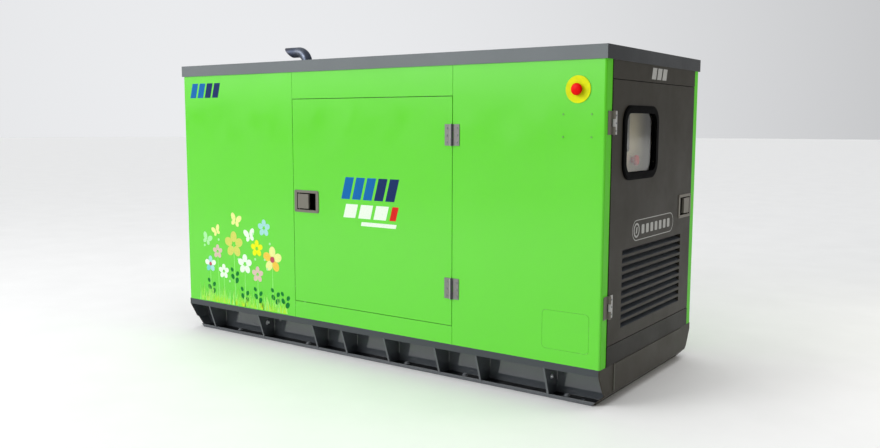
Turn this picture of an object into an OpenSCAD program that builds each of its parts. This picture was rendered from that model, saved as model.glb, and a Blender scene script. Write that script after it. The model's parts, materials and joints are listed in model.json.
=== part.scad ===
// Skid-mounted silenced diesel generator set.
// +X points to the control end, -Y is the side with the stop button, Z = 0 is the ground.
// The origin is the centre of the four anchor holes, on the ground.

/* [Canopy] */
// Length over the corner returns
body_l = 2150; // [2150:10:2300]
// Width over the side walls
body_w = 906; // [900:2:960]
// Height of the side walls below the roof edge
wall_h = 1057; // [1057:1:1120]
// Thickness of the canopy sheet
sheet = 2; // [1.5:0.5:2.5]
// Depth of the roof's turned-down edge
fascia_h = 48; // [40:1:70]
// How far the roof stands out past the walls
roof_over = 5; // [3:1:12]
// How far the side walls wrap round the corners
return_w = 48; // [40:1:60]
// Outside radius of the wall corners
corner_r = 8; // [5:1:12]
// How far the end panels stand proud of the corner returns
end_proud = 2.5; // [2:0.5:4]

/* [Skid base] */
// Height of the skid base
base_h = 143; // [140:1:160]
// Height of the rail's outer lip
lip_h = 26; // [20:1:35]
// Plate thickness of lips, webs and end plates
plate = 5; // [4:1:6]
// Thickness of the bottom flange
foot_t = 6; // [5:1:8]
// Height of the hem turned up along the bottom flange
hem_h = 13; // [8:1:18]
// How far the web sits behind the lip
web_in = 100; // [90:1:110]
// How far the bottom flange stops short of the lip
foot_in = 38; // [30:1:50]
// Thickness of a gusset
gusset_t = 8; // [6:1:10]
// Diameter of a lifting hole
lift_d = 22; // [18:1:26]
// Diameter of an anchor hole
anchor_d = 18; // [14:1:22]
// Distance from the centre to each anchor hole along X
anchor_x = 980; // [960:5:1000]
// Slope length of the sledge-shaped ends
toe = 40; // [30:1:45]

/* [Doors] */
// Left edge of the side doorway
door_x0 = -369; // [-375:1:-360]
// Right edge of the side doorway
door_x1 = 461; // [455:1:470]
// Bottom edge of the side doorway
door_z0 = 214.5; // [210:0.5:220]
// Top edge of the side doorway
door_z1 = 1088; // [1080:1:1095]
// Gap round a door
door_gap = 2.5; // [2:0.5:4]
// Depth of a door's folded edge
door_d = 30; // [26:1:34]
// Height of the end door's opening bottom
end_z0 = 215; // [210:1:220]
// Height of the end door's opening top
end_z1 = 1137; // [1130:1:1145]
// Height of a hinge
hinge_h = 80; // [70:1:90]
// Heights of the side door's hinges
hinge_z = [361, 943];
// Heights of the end door's hinges
end_hinge_z = [356, 989];

/* [Latches and stop button] */
// How far a latch plate sits from the edge of a door opening
latch_in = 8; // [6:1:12]
// Width of a latch plate
latch_w = 140; // [130:1:150]
// Height of a latch plate
latch_h = 95; // [90:1:100]
// Height of the latches
latch_z = 654; // [640:1:670]
// Diameter of the stop button's disc
stop_disc_d = 93; // [80:1:100]
// Diameter of the stop button's head
stop_head_d = 41; // [38:1:50]
// Place of the stop button along X
stop_x = 973; // [960:1:980]
// Height of the stop button
stop_z = 1101; // [1090:1:1110]

/* [Window and louvres] */
// Width of the window over its rubber
window_w = 326; // [320:1:340]
// Height of the window over its rubber
window_h = 262; // [250:1:280]
// Centre of the window across the end door
window_y = -155; // [-160:1:-150]
// Centre height of the window
window_z = 919; // [905:1:930]
// Width of the window's rubber
rubber_w = 27; // [24:1:32]
// Corner radius of the window rubber
window_r = 62; // [50:1:70]
// Number of louvres
louvres = 10; // [8:1:12]
// Width of the louvres
louvre_w = 584; // [560:2:600]
// Spacing of the louvres
louvre_pitch = 28.9; // [28:0.1:30]
// Height of each louvre's slot
louvre_h = 19; // [16:0.5:22]
// Depth of each louvre behind the panel
louvre_d = 15; // [10:1:18]

/* [Exhaust] */
// Outside diameter of the tail pipe
pipe_d = 50; // [44:1:56]
// Place of the tail pipe along X
pipe_x = -708; // [-720:1:-700]
// Height of the tail pipe's level run above the roof
pipe_rise = 82; // [76:1:90]
// Bend radius of the tail pipe
pipe_bend = 55; // [50:1:60]
// Reach of the tail pipe's level run
pipe_reach = 141; // [130:1:150]

/* [Engine and generator] */
// Height of the crankshaft above the ground
crank_z = 400; // [395:1:405]
// Radius of the crank pulley
crank_pulley_r = 75; // [70:1:80]
// Radius of the fan pulley
fan_pulley_r = 60; // [55:1:65]
// Radius of the charging alternator's pulley
charge_pulley_r = 34; // [30:1:38]
// Radius of the fan
fan_r = 210; // [200:1:214]

/* [Hidden] */
$fn = 64;
hx = body_l / 2;
hy = body_w / 2;
wall_z1 = base_h + wall_h;
roof_z1 = wall_z1 + fascia_h;
wall_top = roof_z1 - sheet;
web_y = -hy + web_in;
rail_x = hx - plate;
toe_x = rail_x - toe;
anchor_y = -hy + (foot_in + web_in) / 2;
gusset_x = [-939, -608, -273, -104, 124, 376, 568, 858];
lift_gussets = [gusset_x[1], gusset_x[7]];
lift_y = -396;
lift_z = 73;
bolt_x = [-810, -367, 186, 472, 915];
return_y = hy - return_w;
end_x = hx + end_proud;
jamb_d = 41;
rabbet_w = 30;
side_door = [door_x0 + door_gap, door_x1 - door_gap, door_z0 + door_gap, door_z1 - door_gap];
end_door = [-return_y + 3, return_y - 3, end_z0 + door_gap, end_z1 - door_gap];
hinge_off = 6;
knuckle_r = 5.5;
hinge_pin_r = 2.5;
run_fit = 0.06;
leaf_t = 2.5;
leaf_w = 33;
knuckle_h = 25.2;
latch_x = door_x0 + latch_in + latch_w / 2;
end_latch_y = end_door[1] - latch_in / 2 - latch_w / 2;
latch_pin = [-44, 5];
pocket = [108, 72];
pocket_d = 22.5;
paddle_h = 62;
louvre_z0 = 263;
left_louvre_z0 = 330;
left_louvres = 2 * louvres;
fan_z = crank_z + 210;
fan_x = -500;
charge_y = -190;
charge_z = crank_z + 140;
pulley_x = -455;
pulley_w = 25;
journal_r = 20;
fan_spindle_r = 10;
charge_spindle_r = 8;
block_x = [-400, 80];
block_y = 120;
block_z = [330, 600];
bell_x = 190;
bell_r = 188;
sump_z0 = 240;
head_z1 = 680;
cover_z1 = 745;
gen_x = [190, 600, 640];
gen_bore_r = 116;
cavity_r = 176;
air_y = -190;
air_z = 860;
air_r = 88;
bearer_x = [-420, 640];
bearer_y = [180, 250];
bearer_h = 60;
rubber_h = 50;
mount_x = [-280, 480];
radiator_x = [-600, -545];
radiator_y = 250;
radiator_z = [370, 860];
shroud_r = fan_r + 10;
drum_z = 1020;
drum_r = 95;
drum_y = 280;
riser_x = -300;
riser_y = 145;
riser_r = 24;
riser_bend = 50;
riser_z0 = 662;
tank_x = [-360, 730];
tank_y = 340;
tank_z = [24, 134];
tank_wall = 3;
fuel_neck = [400, -290];
neck_r = 30;
neck_bore_r = 25;
neck_z1 = 270;
cap_r = 38;
outlet_x = [850, 940];
outlet_y = [-300, -180];
cabinet_x = 905;
cabinet_y = [-340, 160];
cabinet_z = [700, 1080];
panel_x = 1022;
controller_yz = [-240, 960];
panel_stop_yz = [-105, 852];
key_yz = [-290, 820];
breaker_yz = [-215, 815];
battery_x = [700, 940];
battery_y = [180, 355];
battery_h = 175;

// ---- helpers ----------------------------------------------------------------

// Box between two corners
module box(a, b) {
    translate(a) cube(b - a);
}

// Rod along X between x0 and x1
module rod_x(x0, x1, y, z, r) {
    translate([x0, y, z]) rotate([0, 90, 0]) cylinder(h = x1 - x0, r = r);
}

// Rod along Y between y0 and y1
module rod_y(x, y0, y1, z, r) {
    translate([x, y0, z]) rotate([-90, 0, 0]) cylinder(h = y1 - y0, r = r);
}

// Plate whose outline lies in the YZ plane, from x0 to x1
module plate_x(x0, x1) {
    translate([x0, 0, 0]) rotate([90, 0, 90]) linear_extrude(x1 - x0) children();
}

// Plate whose outline lies in the XZ plane, from y0 to y1
module plate_y(y0, y1) {
    translate([0, y1, 0]) rotate([90, 0, 0]) linear_extrude(y1 - y0) children();
}

// Rectangle with round corners, centred on c
module round_rect(c, w, h, r) {
    translate([c[0] - w / 2, c[1] - h / 2]) {
        translate([r, 0]) square([w - 2 * r, h]);
        translate([0, r]) square([w, h - 2 * r]);
        for (x = [r, w - r], y = [r, h - r]) translate([x, y]) circle(r);
    }
}

// The other long side of the set
module rear() {
    mirror([0, 1, 0]) children();
}

// The other end of the set
module left() {
    mirror([1, 0, 0]) children();
}

// ---- skid base --------------------------------------------------------------

// Trapezoid stiffener under the lip
module gusset(x) {
    plate_x(x - gusset_t / 2, x + gusset_t / 2)
        polygon([[web_y + 1, foot_t - 1], [-hy + foot_in, foot_t - 1], [-hy + foot_in, foot_t],
            [-hy + 0.5, base_h - lip_h], [-hy + 0.5, base_h - 1], [web_y + 1, base_h - 1]]);
}

// Wedge that gives each end its sledge shape
module toe_cut() {
    plate_y(-hy - 1, hy + 1)
        polygon([[toe_x, 0], [toe_x, -1], [rail_x + 1, -1], [rail_x + 1, toe + 1]]);
}

module base_rail_solid() {
    difference() {
        union() {
            box([-rail_x, -hy, base_h - plate], [rail_x, web_y + plate, base_h]);
            box([-rail_x, -hy, base_h - lip_h], [rail_x, -hy + plate, base_h]);
            box([-rail_x, web_y, 0], [rail_x, web_y + plate, base_h]);
            box([-rail_x, -hy + foot_in, 0], [rail_x, web_y + plate, foot_t]);
            box([-rail_x, -hy + foot_in, 0], [rail_x, -hy + foot_in + plate, hem_h]);
            for (x = gusset_x) gusset(x);
        }
        toe_cut();
        left() toe_cut();
        for (x = lift_gussets)
            rod_x(x - gusset_t, x + gusset_t, lift_y, lift_z, lift_d / 2);
        for (x = [-anchor_x, anchor_x])
            translate([x, anchor_y, -1]) cylinder(h = foot_t + 2, d = anchor_d);
    }
}

module base_rail_front() {
    color("#585c60") base_rail_solid();
}

module base_rail_rear() {
    color("#585c60") rear() base_rail_solid();
}

// Tapered end plate with its lower edge folded in like a sledge runner
module base_end_solid() {
    plate_x(rail_x, hx)
        polygon([for (s = [1, -1]) for (p = s > 0
            ? [[hy, base_h], [hy, base_h - lip_h], [hy - 36, 50], [hy - 50, toe]]
            : [[hy - 50, toe], [hy - 36, 50], [hy, base_h - lip_h], [hy, base_h]]) [s * p[0], p[1]]]);
    plate_y(-hy + 50, hy - 50)
        polygon([[hx, toe], [hx, toe - 2], [hx - toe + 2, 0], [toe_x, 0], [rail_x, toe]]);
}

module base_end_plates() {
    color("#3e3c36") for (s = [0, 1]) mirror([s, 0, 0]) base_end_solid();
}

// Bolted cover over the middle of each end plate
module base_end_covers() {
    color("#3e3c36") for (s = [0, 1]) mirror([s, 0, 0])
        box([hx, -335, toe + 3], [hx + 5, 335, base_h]);
}

module cross_members() {
    color("#4b4d50") for (x = [-1000, -700, -420, 780, 1000])
        difference() {
            box([x - 30, web_y + plate, 40], [x + 30, -web_y - plate, base_h - 3]);
            box([x - 25, web_y + plate - 1, 45], [x + 25, -web_y - plate + 1, base_h - 8]);
        }
}

module floor_plate() {
    color("#4b4d50") difference() {
        box([-rail_x, web_y + plate, base_h - 3], [rail_x, -web_y - plate, base_h]);
        translate([fuel_neck[0], fuel_neck[1], base_h - 4]) cylinder(h = 5, r = neck_r + 3);
        box([outlet_x[0], outlet_y[0], base_h - 4], [outlet_x[1], outlet_y[1], base_h + 1]);
    }
}

// Round-headed screws along both bottom flanges
module flange_bolts() {
    color("#6c6e70") for (s = [0, 1]) mirror([0, s, 0]) for (x = bolt_x) {
        translate([x, web_y - 24, foot_t]) cylinder(h = 2, r = 12);
        translate([x, web_y - 24, foot_t + 2]) cylinder(h = 5, r = 8);
    }
}

// ---- fuel -------------------------------------------------------------------

module fuel_tank() {
    t = tank_wall;
    color("#2f3032") difference() {
        union() {
            box([tank_x[0], -tank_y, tank_z[0]], [tank_x[1], tank_y, tank_z[1]]);
            translate([fuel_neck[0], fuel_neck[1], tank_z[1] - 1])
                cylinder(h = neck_z1 - tank_z[1] + 1, r = neck_r);
        }
        box([tank_x[0] + t, t - tank_y, tank_z[0] + t], [tank_x[1] - t, tank_y - t, tank_z[1] - t]);
        translate([fuel_neck[0], fuel_neck[1], tank_z[0] + 90]) cylinder(h = neck_z1, r = neck_bore_r);
    }
}

// Screw cap with a grip rim and a plug inside the neck
module fuel_cap() {
    color("#1c1c1c") translate([fuel_neck[0], fuel_neck[1], 0]) difference() {
        union() {
            translate([0, 0, neck_z1 + 0.4]) cylinder(h = 22, r = cap_r);
            translate([0, 0, neck_z1 - 15]) cylinder(h = 20, r = neck_bore_r - run_fit);
        }
        for (a = [0:30:330]) rotate(a) translate([cap_r + 1, 0, neck_z1 - 1]) cylinder(h = 26, r = 4);
    }
}

// ---- walls ------------------------------------------------------------------

// Side wall section with its round corner and end return, seen from above
module wall_section(x_jamb) {
    translate([x_jamb, -hy]) square([hx - corner_r - x_jamb, sheet]);
    translate([hx - sheet, -hy + corner_r]) square([sheet, return_w - corner_r]);
    translate([hx - corner_r, -hy + corner_r]) intersection() {
        difference() {
            circle(corner_r);
            circle(corner_r - sheet);
        }
        translate([0, -corner_r]) square(corner_r);
    }
}

// Corner wall from the door jamb to the end, with the lower corner of its return rounded
module corner_wall(x_jamb) {
    difference() {
        translate([0, 0, base_h]) linear_extrude(wall_top - base_h) wall_section(x_jamb);
        difference() {
            box([hx - 4, -return_y - corner_r, base_h - 1], [hx + 1, -return_y + 1, base_h + corner_r]);
            rod_x(hx - 5, hx + 2, -return_y - corner_r, base_h + corner_r, corner_r);
        }
    }
}

module wall_front_left() {
    color("#6ee046") left() corner_wall(-door_x0);
}

// Cover of the output terminals, let into the wall
module outlet_outline(gap) {
    round_rect([939.7, 262], 182 - 2 * gap, 140 - 2 * gap, 14);
}

module wall_front_right() {
    color("#6ee046") difference() {
        corner_wall(door_x1);
        rod_y(stop_x, -hy - 1, -hy + sheet + 1, stop_z, 14);
        plate_y(-hy - 1, -hy + sheet + 1) outlet_outline(0);
    }
}

module outlet_cover() {
    color("#6ee046") plate_y(-hy, -hy + sheet) outlet_outline(0.5);
}

// Head and sill panels of a side doorway, with the rabbet the door closes against
module doorway() {
    box([door_x0 + 1, -hy, door_z1], [door_x1 - 1, -hy + sheet, wall_top]);
    box([door_x0 + 1, -hy, base_h], [door_x1 - 1, -hy + sheet, door_z0]);
    difference() {
        box([door_x0 - sheet, -hy + sheet, door_z0 - sheet],
            [door_x1 + sheet, -hy + sheet + jamb_d, door_z1 + sheet]);
        box([door_x0, -hy, door_z0], [door_x1, -hy + jamb_d, door_z1]);
        box([door_x0 + rabbet_w, -hy, door_z0 + rabbet_w],
            [door_x1 - rabbet_w, -hy + jamb_d + 5, door_z1 - rabbet_w]);
    }
}

module wall_front_mid() {
    color("#6ee046") doorway();
}

module wall_rear_panels() {
    color("#6ee046") rear() {
        left() corner_wall(-door_x0);
        corner_wall(door_x1);
        doorway();
    }
}

// Folded sheet panel that closes an end between two heights
module end_tray(z0, z1) {
    difference() {
        box([hx - 28, -return_y + 1, z0], [end_x, return_y - 1, z1]);
        box([hx - 29, -return_y + 1 + sheet, z0 + sheet],
            [end_x - sheet, return_y - 1 - sheet, z1 - sheet]);
    }
}

module end_header() {
    color("#3c3a34") end_tray(end_z1, wall_top);
}

module end_sill() {
    color("#3c3a34") end_tray(base_h, end_z0);
}

// Louvre pressed inwards: a blade that rises behind its slot, and a closed cheek at each end.
// z is the slot's lower edge.
module louvre_slot(z) {
    box([end_x - sheet - 1, -louvre_w / 2, z], [end_x + 1, louvre_w / 2, z + louvre_h]);
}

module louvre_blade(z) {
    plate_y(-louvre_w / 2 - 1.5, louvre_w / 2 + 1.5)
        polygon([[end_x, z], [end_x - louvre_d, z + 9], [end_x - louvre_d, z + 7],
            [end_x - sheet, z - 1.5]]);
    for (s = [0, 1]) mirror([0, s, 0]) plate_y(louvre_w / 2, louvre_w / 2 + 1.5)
        polygon([[end_x - 1, z - 1], [end_x - 1, z + louvre_h + 1], [end_x - louvre_d, z + louvre_h],
            [end_x - louvre_d, z + 7]]);
}

// Air outlet end: one panel with a tall bank of louvres
module end_left_panel() {
    color("#3c3a34") left() {
        difference() {
            end_tray(base_h, wall_top);
            for (i = [1:left_louvres]) louvre_slot(left_louvre_z0 + (i - 1) * louvre_pitch);
        }
        for (i = [1:left_louvres]) louvre_blade(left_louvre_z0 + (i - 1) * louvre_pitch);
    }
}

// Rabbet that the end door closes against
module door_frame_end() {
    color("#2a2a28") difference() {
        box([hx - 41, -return_y, end_z0 + 1], [hx - 28.5, return_y, end_z1 - 1]);
        box([hx - 39, -return_y + sheet, end_z0 + 3], [hx - 20, return_y - sheet, end_z1 - 3]);
        box([hx - 50, -return_y + 34, end_z0 + 34], [hx, return_y - 34, end_z1 - 34]);
    }
}

// Rubber loop on each rabbet
module seal_loop(w, h, c, t) {
    difference() {
        round_rect(c, w, h, 12);
        round_rect(c, w - 2 * t, h - 2 * t, 6);
    }
}

module door_seals() {
    side_c = [(door_x0 + door_x1) / 2, (door_z0 + door_z1) / 2];
    side_w = door_x1 - door_x0 - 10;
    side_h = door_z1 - door_z0 - 10;
    color("#161616") {
        for (s = [0, 1]) mirror([0, s, 0])
            plate_y(-hy + door_d + 1, -hy + jamb_d) seal_loop(side_w, side_h, side_c, 14);
        plate_x(hx - 39, hx - 29)
            seal_loop(2 * return_y - 10, end_z1 - end_z0 - 10, [0, (end_z0 + end_z1) / 2], 14);
    }
}

// Roof tray with a turned-down edge and a hole for the tail pipe
module roof_panel() {
    color("#80868a") difference() {
        box([-hx - roof_over, -hy - roof_over, wall_z1], [hx + roof_over, hy + roof_over, roof_z1]);
        box([-hx - roof_over + sheet, -hy - roof_over + sheet, wall_z1 - 1],
            [hx + roof_over - sheet, hy + roof_over - sheet, wall_top]);
        translate([pipe_x, 0, wall_z1]) cylinder(h = fascia_h + 1, r = pipe_d / 2 + 5);
    }
}

module wall_rivets() {
    color("#4f9a3a") for (x = [918.5, 1024.7], z = [940.5, 1017.5])
        rod_y(x, -hy - 2, -hy, z, 3.2);
}

// ---- exhaust ----------------------------------------------------------------

// Pipe bend in the XZ plane, from straight up to level towards -X
module pipe_elbow(r, bend) {
    rotate([90, 0, 0]) translate([-bend, 0, 0]) rotate_extrude(angle = 90) translate([bend, 0]) circle(r);
}

module tail_path(r, extra) {
    top = roof_z1 + pipe_rise - pipe_bend;
    foot = drum_z + drum_r + 15 - extra;
    translate([pipe_x, 0, foot]) cylinder(h = top - foot, r = r);
    translate([pipe_x, 0, top]) pipe_elbow(r, pipe_bend);
    rod_x(pipe_x - pipe_reach - extra, pipe_x - pipe_bend, 0, roof_z1 + pipe_rise, r);
}

// Tail pipe with a slant-cut mouth and a rain collar on the roof
module exhaust_tail() {
    color("#555b64") {
        difference() {
            tail_path(pipe_d / 2, 0);
            tail_path(pipe_d / 2 - 2, 5);
            translate([pipe_x - pipe_reach, 0, roof_z1 + pipe_rise + pipe_d / 2])
                rotate([0, -45, 0]) translate([-60, -50, -120]) cube([60, 100, 160]);
        }
        translate([pipe_x, 0, roof_z1]) difference() {
            cylinder(h = 12, r = 52);
            translate([0, 0, -1]) cylinder(h = 14, r = pipe_d / 2);
            translate([0, 0, 3]) difference() {
                cylinder(h = 12, r = 60);
                cylinder(h = 12, r = 34);
            }
        }
    }
}

// Silencer drum under the roof, its inlet pipe, its outlet socket and two hangers
module silencer() {
    color("#6b6a66") difference() {
        union() {
            rod_y(pipe_x, -drum_y, drum_y, drum_z, drum_r);
            translate([pipe_x, 0, drum_z]) cylinder(h = 150, r = 30);
            rod_x(pipe_x, riser_x - riser_bend, riser_y, drum_z, riser_r);
            translate([riser_x, riser_y, drum_z - riser_bend]) pipe_elbow(riser_r, riser_bend);
            translate([riser_x, riser_y, riser_z0])
                cylinder(h = drum_z - riser_bend - riser_z0, r = riser_r);
            translate([riser_x, riser_y, riser_z0]) cylinder(h = 12, r = riser_r + 8);
            for (y = [-200, 200]) box([pipe_x - 3, y - 15, drum_z + 60], [pipe_x + 3, y + 15, wall_top]);
        }
        rod_y(pipe_x, 4 - drum_y, drum_y - 4, drum_z, drum_r - 4);
        translate([pipe_x, 0, drum_z + 70]) cylinder(h = 100, r = pipe_d / 2 + 0.2);
    }
}

// ---- hinges -----------------------------------------------------------------
// Local frame: the pin is the Z axis, the door's face is the plane y = hinge_off, outside is -Y,
// and the fixed leaf is on +X. drop is how far the fixed leaf's wall lies behind the door's face.

module hinge_fixed(drop) {
    y1 = hinge_off + drop;
    difference() {
        union() {
            box([2.5, y1 - leaf_t, -hinge_h / 2], [leaf_w, y1, hinge_h / 2]);
            box([2.5, 0, -hinge_h / 2], [knuckle_r, y1, hinge_h / 2]);
            cylinder(h = hinge_h, r = knuckle_r, center = true);
        }
        box([-20, -20, -knuckle_h / 2 - 0.4], [knuckle_r + 0.7, 20, knuckle_h / 2 + 0.4]);
    }
    cylinder(h = hinge_h + 4, r = hinge_pin_r, center = true);
}

module hinge_moving() {
    difference() {
        union() {
            box([-leaf_w, hinge_off - leaf_t, -hinge_h / 2], [-knuckle_r - 0.7, hinge_off, hinge_h / 2]);
            box([-knuckle_r - 2, 1, -knuckle_h / 2], [0, hinge_off - 0.5, knuckle_h / 2]);
            cylinder(h = knuckle_h, r = knuckle_r, center = true);
        }
        cylinder(h = hinge_h, r = hinge_pin_r + run_fit, center = true);
    }
}

// Puts a hinge at each hinge place of a side door
module at_side_hinges() {
    for (z = hinge_z) translate([door_x1 - 2, -hy - hinge_off, z]) children();
}

// Puts a hinge at each hinge place of the end door
module at_end_hinges() {
    for (z = end_hinge_z) translate([end_x + hinge_off, -return_y + 1.5, z])
        rotate(90) mirror([1, 0, 0]) children();
}

module hinge_fixed_leaves() {
    color("#8c8c91") {
        at_side_hinges() hinge_fixed(0);
        rear() at_side_hinges() hinge_fixed(0);
        at_end_hinges() hinge_fixed(end_proud);
    }
}

// ---- latches ----------------------------------------------------------------
// Local frame: the door's face is y = 0, outside is -Y, the door's free edge is towards -X.

module latch_housing() {
    difference() {
        union() {
            plate_y(-2.5, 0) round_rect([0, 0], latch_w, latch_h, 8);
            box([-pocket[0] / 2 - 1.5, -1, -pocket[1] / 2 - 1.5],
                [pocket[0] / 2 + 1.5, pocket_d + 1.5, pocket[1] / 2 + 1.5]);
        }
        box([-pocket[0] / 2, -5, -pocket[1] / 2], [pocket[0] / 2, pocket_d, pocket[1] / 2]);
    }
    translate([latch_pin[0], latch_pin[1], 0]) cylinder(h = pocket[1] + 1, r = hinge_pin_r, center = true);
    for (s = [-1, 1]) translate([latch_pin[0], latch_pin[1], s * 34])
        cylinder(h = 4.2, r = 5, center = true);
}

module latch_paddle() {
    difference() {
        union() {
            box([-50, -2.5, -paddle_h / 2], [12, 1.5, paddle_h / 2]);
            translate([latch_pin[0], latch_pin[1], 0]) cylinder(h = paddle_h, r = 5, center = true);
            box([6, -2.5, -paddle_h / 2], [12, 7, paddle_h / 2]);
        }
        translate([latch_pin[0], latch_pin[1], 0])
            cylinder(h = paddle_h + 8, r = hinge_pin_r + run_fit, center = true);
    }
}

// Puts a latch at its place on a side door
module at_side_latch() {
    translate([latch_x, -hy, latch_z]) children();
}

// Puts a latch at its place on the end door
module at_end_latch() {
    translate([end_x, end_latch_y, latch_z]) rotate(90) mirror([1, 0, 0]) children();
}

module latch_front_paddle() {
    color("#69675f") at_side_latch() latch_paddle();
}

module latch_rear_paddle() {
    color("#69675f") rear() at_side_latch() latch_paddle();
}

module latch_end_paddle() {
    color("#69675f") at_end_latch() latch_paddle();
}

// ---- doors ------------------------------------------------------------------

// Folded sheet door, open at the back, with inward lips that meet the seal
module side_door_solid() {
    d = side_door;
    difference() {
        box([d[0], -hy, d[2]], [d[1], -hy + door_d, d[3]]);
        box([d[0] + sheet, -hy + sheet, d[2] + sheet], [d[1] - sheet, -hy + door_d - sheet, d[3] - sheet]);
        box([d[0] + 18, -hy + sheet, d[2] + 18], [d[1] - 18, -hy + door_d + 1, d[3] - 18]);
        at_side_latch() box([-pocket[0] / 2 - 2.5, -5, -pocket[1] / 2 - 2.5],
            [pocket[0] / 2 + 2.5, 5, pocket[1] / 2 + 2.5]);
    }
}

module side_foam_solid() {
    d = side_door;
    box([latch_x + latch_w / 2 + 10, -hy + sheet, d[2] + 22], [d[1] - 22, -hy + door_d - 3, d[3] - 22]);
}

module side_fittings_solid() {
    at_side_hinges() hinge_moving();
    at_side_latch() latch_housing();
}

module door_front_panel() {
    color("#6ee046") side_door_solid();
}

module door_front_foam() {
    color("#26262a") side_foam_solid();
}

module door_front_fittings() {
    color("#8c8c91") side_fittings_solid();
}

module door_rear_panel() {
    color("#6ee046") rear() side_door_solid();
}

module door_rear_foam() {
    color("#26262a") rear() side_foam_solid();
}

module door_rear_fittings() {
    color("#8c8c91") rear() side_fittings_solid();
}

module window_outline(inset, r) {
    round_rect([window_y, window_z], window_w - 2 * inset, window_h - 2 * inset, r);
}

module door_end_panel() {
    d = end_door;
    color("#3c3a34") {
        difference() {
            box([end_x - door_d, d[0], d[2]], [end_x, d[1], d[3]]);
            box([end_x - door_d + sheet, d[0] + sheet, d[2] + sheet],
                [end_x - sheet, d[1] - sheet, d[3] - sheet]);
            box([end_x - door_d - 1, d[0] + 18, d[2] + 18], [end_x - sheet, d[1] - 18, d[3] - 18]);
            at_end_latch() box([-pocket[0] / 2 - 2.5, -5, -pocket[1] / 2 - 2.5],
                [pocket[0] / 2 + 2.5, 5, pocket[1] / 2 + 2.5]);
            plate_x(end_x - 5, end_x + 5) window_outline(13, window_r - 13);
            for (i = [0:louvres - 1]) louvre_slot(louvre_z0 + i * louvre_pitch);
        }
        for (i = [0:louvres - 1]) louvre_blade(louvre_z0 + i * louvre_pitch);
    }
}

module door_end_fittings() {
    color("#8c8c91") {
        at_end_hinges() hinge_moving();
        at_end_latch() latch_housing();
    }
}

module glass_slab() {
    plate_x(end_x - 9, end_x - 5) window_outline(rubber_w - 5, window_r - rubber_w + 5);
}

module window_gasket() {
    color("#0e0e0e") difference() {
        union() {
            plate_x(end_x, end_x + 5) window_outline(0, window_r);
            plate_x(end_x + 5, end_x + 7) window_outline(5, window_r - 5);
            plate_x(end_x - 13, end_x) window_outline(13, window_r - 13);
        }
        plate_x(end_x - 14, end_x + 8) window_outline(rubber_w, window_r - rubber_w);
        glass_slab();
    }
}

module window_glass() {
    color("#9a958a", 0.35) glass_slab();
}

// ---- stop button and controls -----------------------------------------------

module stop_plate() {
    color("#ebe114") difference() {
        union() {
            rod_y(stop_x, -hy - 3, -hy, stop_z, stop_disc_d / 2);
            rod_y(stop_x, -hy - 4, -hy - 3, stop_z, 17);
        }
        rod_y(stop_x, -hy - 7, -hy + 1, stop_z, 11.5 + run_fit);
    }
}

// Mushroom head on a stem, built along +Z outwards
module stop_button() {
    r = stop_head_d / 2;
    color("#fa0000") translate([stop_x, -hy, stop_z]) rotate([90, 0, 0]) rotate_extrude()
        polygon([[0, -12], [11.5, -12], [11.5, 10.5], [r - 2, 10.5], [r, 12.5], [r, 16], [r - 1.5, 19],
            [r - 5, 21.5], [r - 12, 23], [0, 23.5]]);
}

// Cabinet behind the window, on two posts
module control_box() {
    color("#b9b2a2") {
        difference() {
            box([cabinet_x, cabinet_y[0], cabinet_z[0]], [panel_x, cabinet_y[1], cabinet_z[1]]);
            box([cabinet_x + sheet, cabinet_y[0] + sheet, cabinet_z[0] + sheet],
                [panel_x - sheet, cabinet_y[1] - sheet, cabinet_z[1] - sheet]);
            rod_x(panel_x - 9, panel_x + 1, key_yz[0], key_yz[1], 9 + run_fit);
            rod_x(panel_x - 9, panel_x + 1, panel_stop_yz[0], panel_stop_yz[1], 11 + run_fit);
            box([panel_x - 9, breaker_yz[0] - 12, breaker_yz[1] - 26],
                [panel_x + 1, breaker_yz[0] + 12, breaker_yz[1] + 26]);
        }
        for (y = [cabinet_y[0] + 20, cabinet_y[1] - 20]) difference() {
            box([940, y - 15, base_h], [970, y + 15, cabinet_z[0]]);
            box([942, y - 13, base_h - 1], [968, y + 13, cabinet_z[0] + 1]);
        }
    }
}

// Controller with a screen frame, five keys below it and three beside it
module controller() {
    c = controller_yz;
    color("#22252a") {
        plate_x(panel_x, panel_x + 8) round_rect(c, 180, 150, 10);
        plate_x(panel_x + 8, panel_x + 10) difference() {
            round_rect([c[0] - 16, c[1] + 18], 124, 84, 6);
            round_rect([c[0] - 16, c[1] + 18], 108, 68, 2);
        }
        for (i = [-2:2]) rod_x(panel_x + 8, panel_x + 11, c[0] + i * 32, c[1] - 50, 9);
        for (i = [0:2]) rod_x(panel_x + 8, panel_x + 11, c[0] + 66, c[1] - 12 + i * 28, 9);
    }
}

// Mushroom stop button of the panel, on a stem through the cabinet's front
module panel_stop() {
    color("#c8141c") translate([panel_x, panel_stop_yz[0], panel_stop_yz[1]]) rotate([0, 90, 0])
        rotate_extrude() polygon([[0, -8], [11, -8], [11, 12], [17, 12], [20, 15], [20, 19],
            [18, 22.5], [13, 25], [0, 26]]);
}

module key_switch() {
    color("#2a2a2a") {
        rod_x(panel_x - 8, panel_x + 4, key_yz[0], key_yz[1], 9);
        rod_x(panel_x + 0.5, panel_x + 10, key_yz[0], key_yz[1], 14);
        box([panel_x + 10, key_yz[0] - 3, key_yz[1] - 13], [panel_x + 16, key_yz[0] + 3, key_yz[1] + 13]);
    }
}

// Toggle of the main breaker, on a pivot behind the panel
module breaker_lever() {
    color("#1d1f22") {
        rod_y(panel_x - 14, breaker_yz[0] - 10, breaker_yz[0] + 10, breaker_yz[1], 6);
        translate([panel_x - 14, 0, breaker_yz[1]]) rotate([0, 25, 0])
            box([0, breaker_yz[0] - 8, -4], [34, breaker_yz[0] + 8, 4]);
    }
}

// ---- engine -----------------------------------------------------------------

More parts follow.
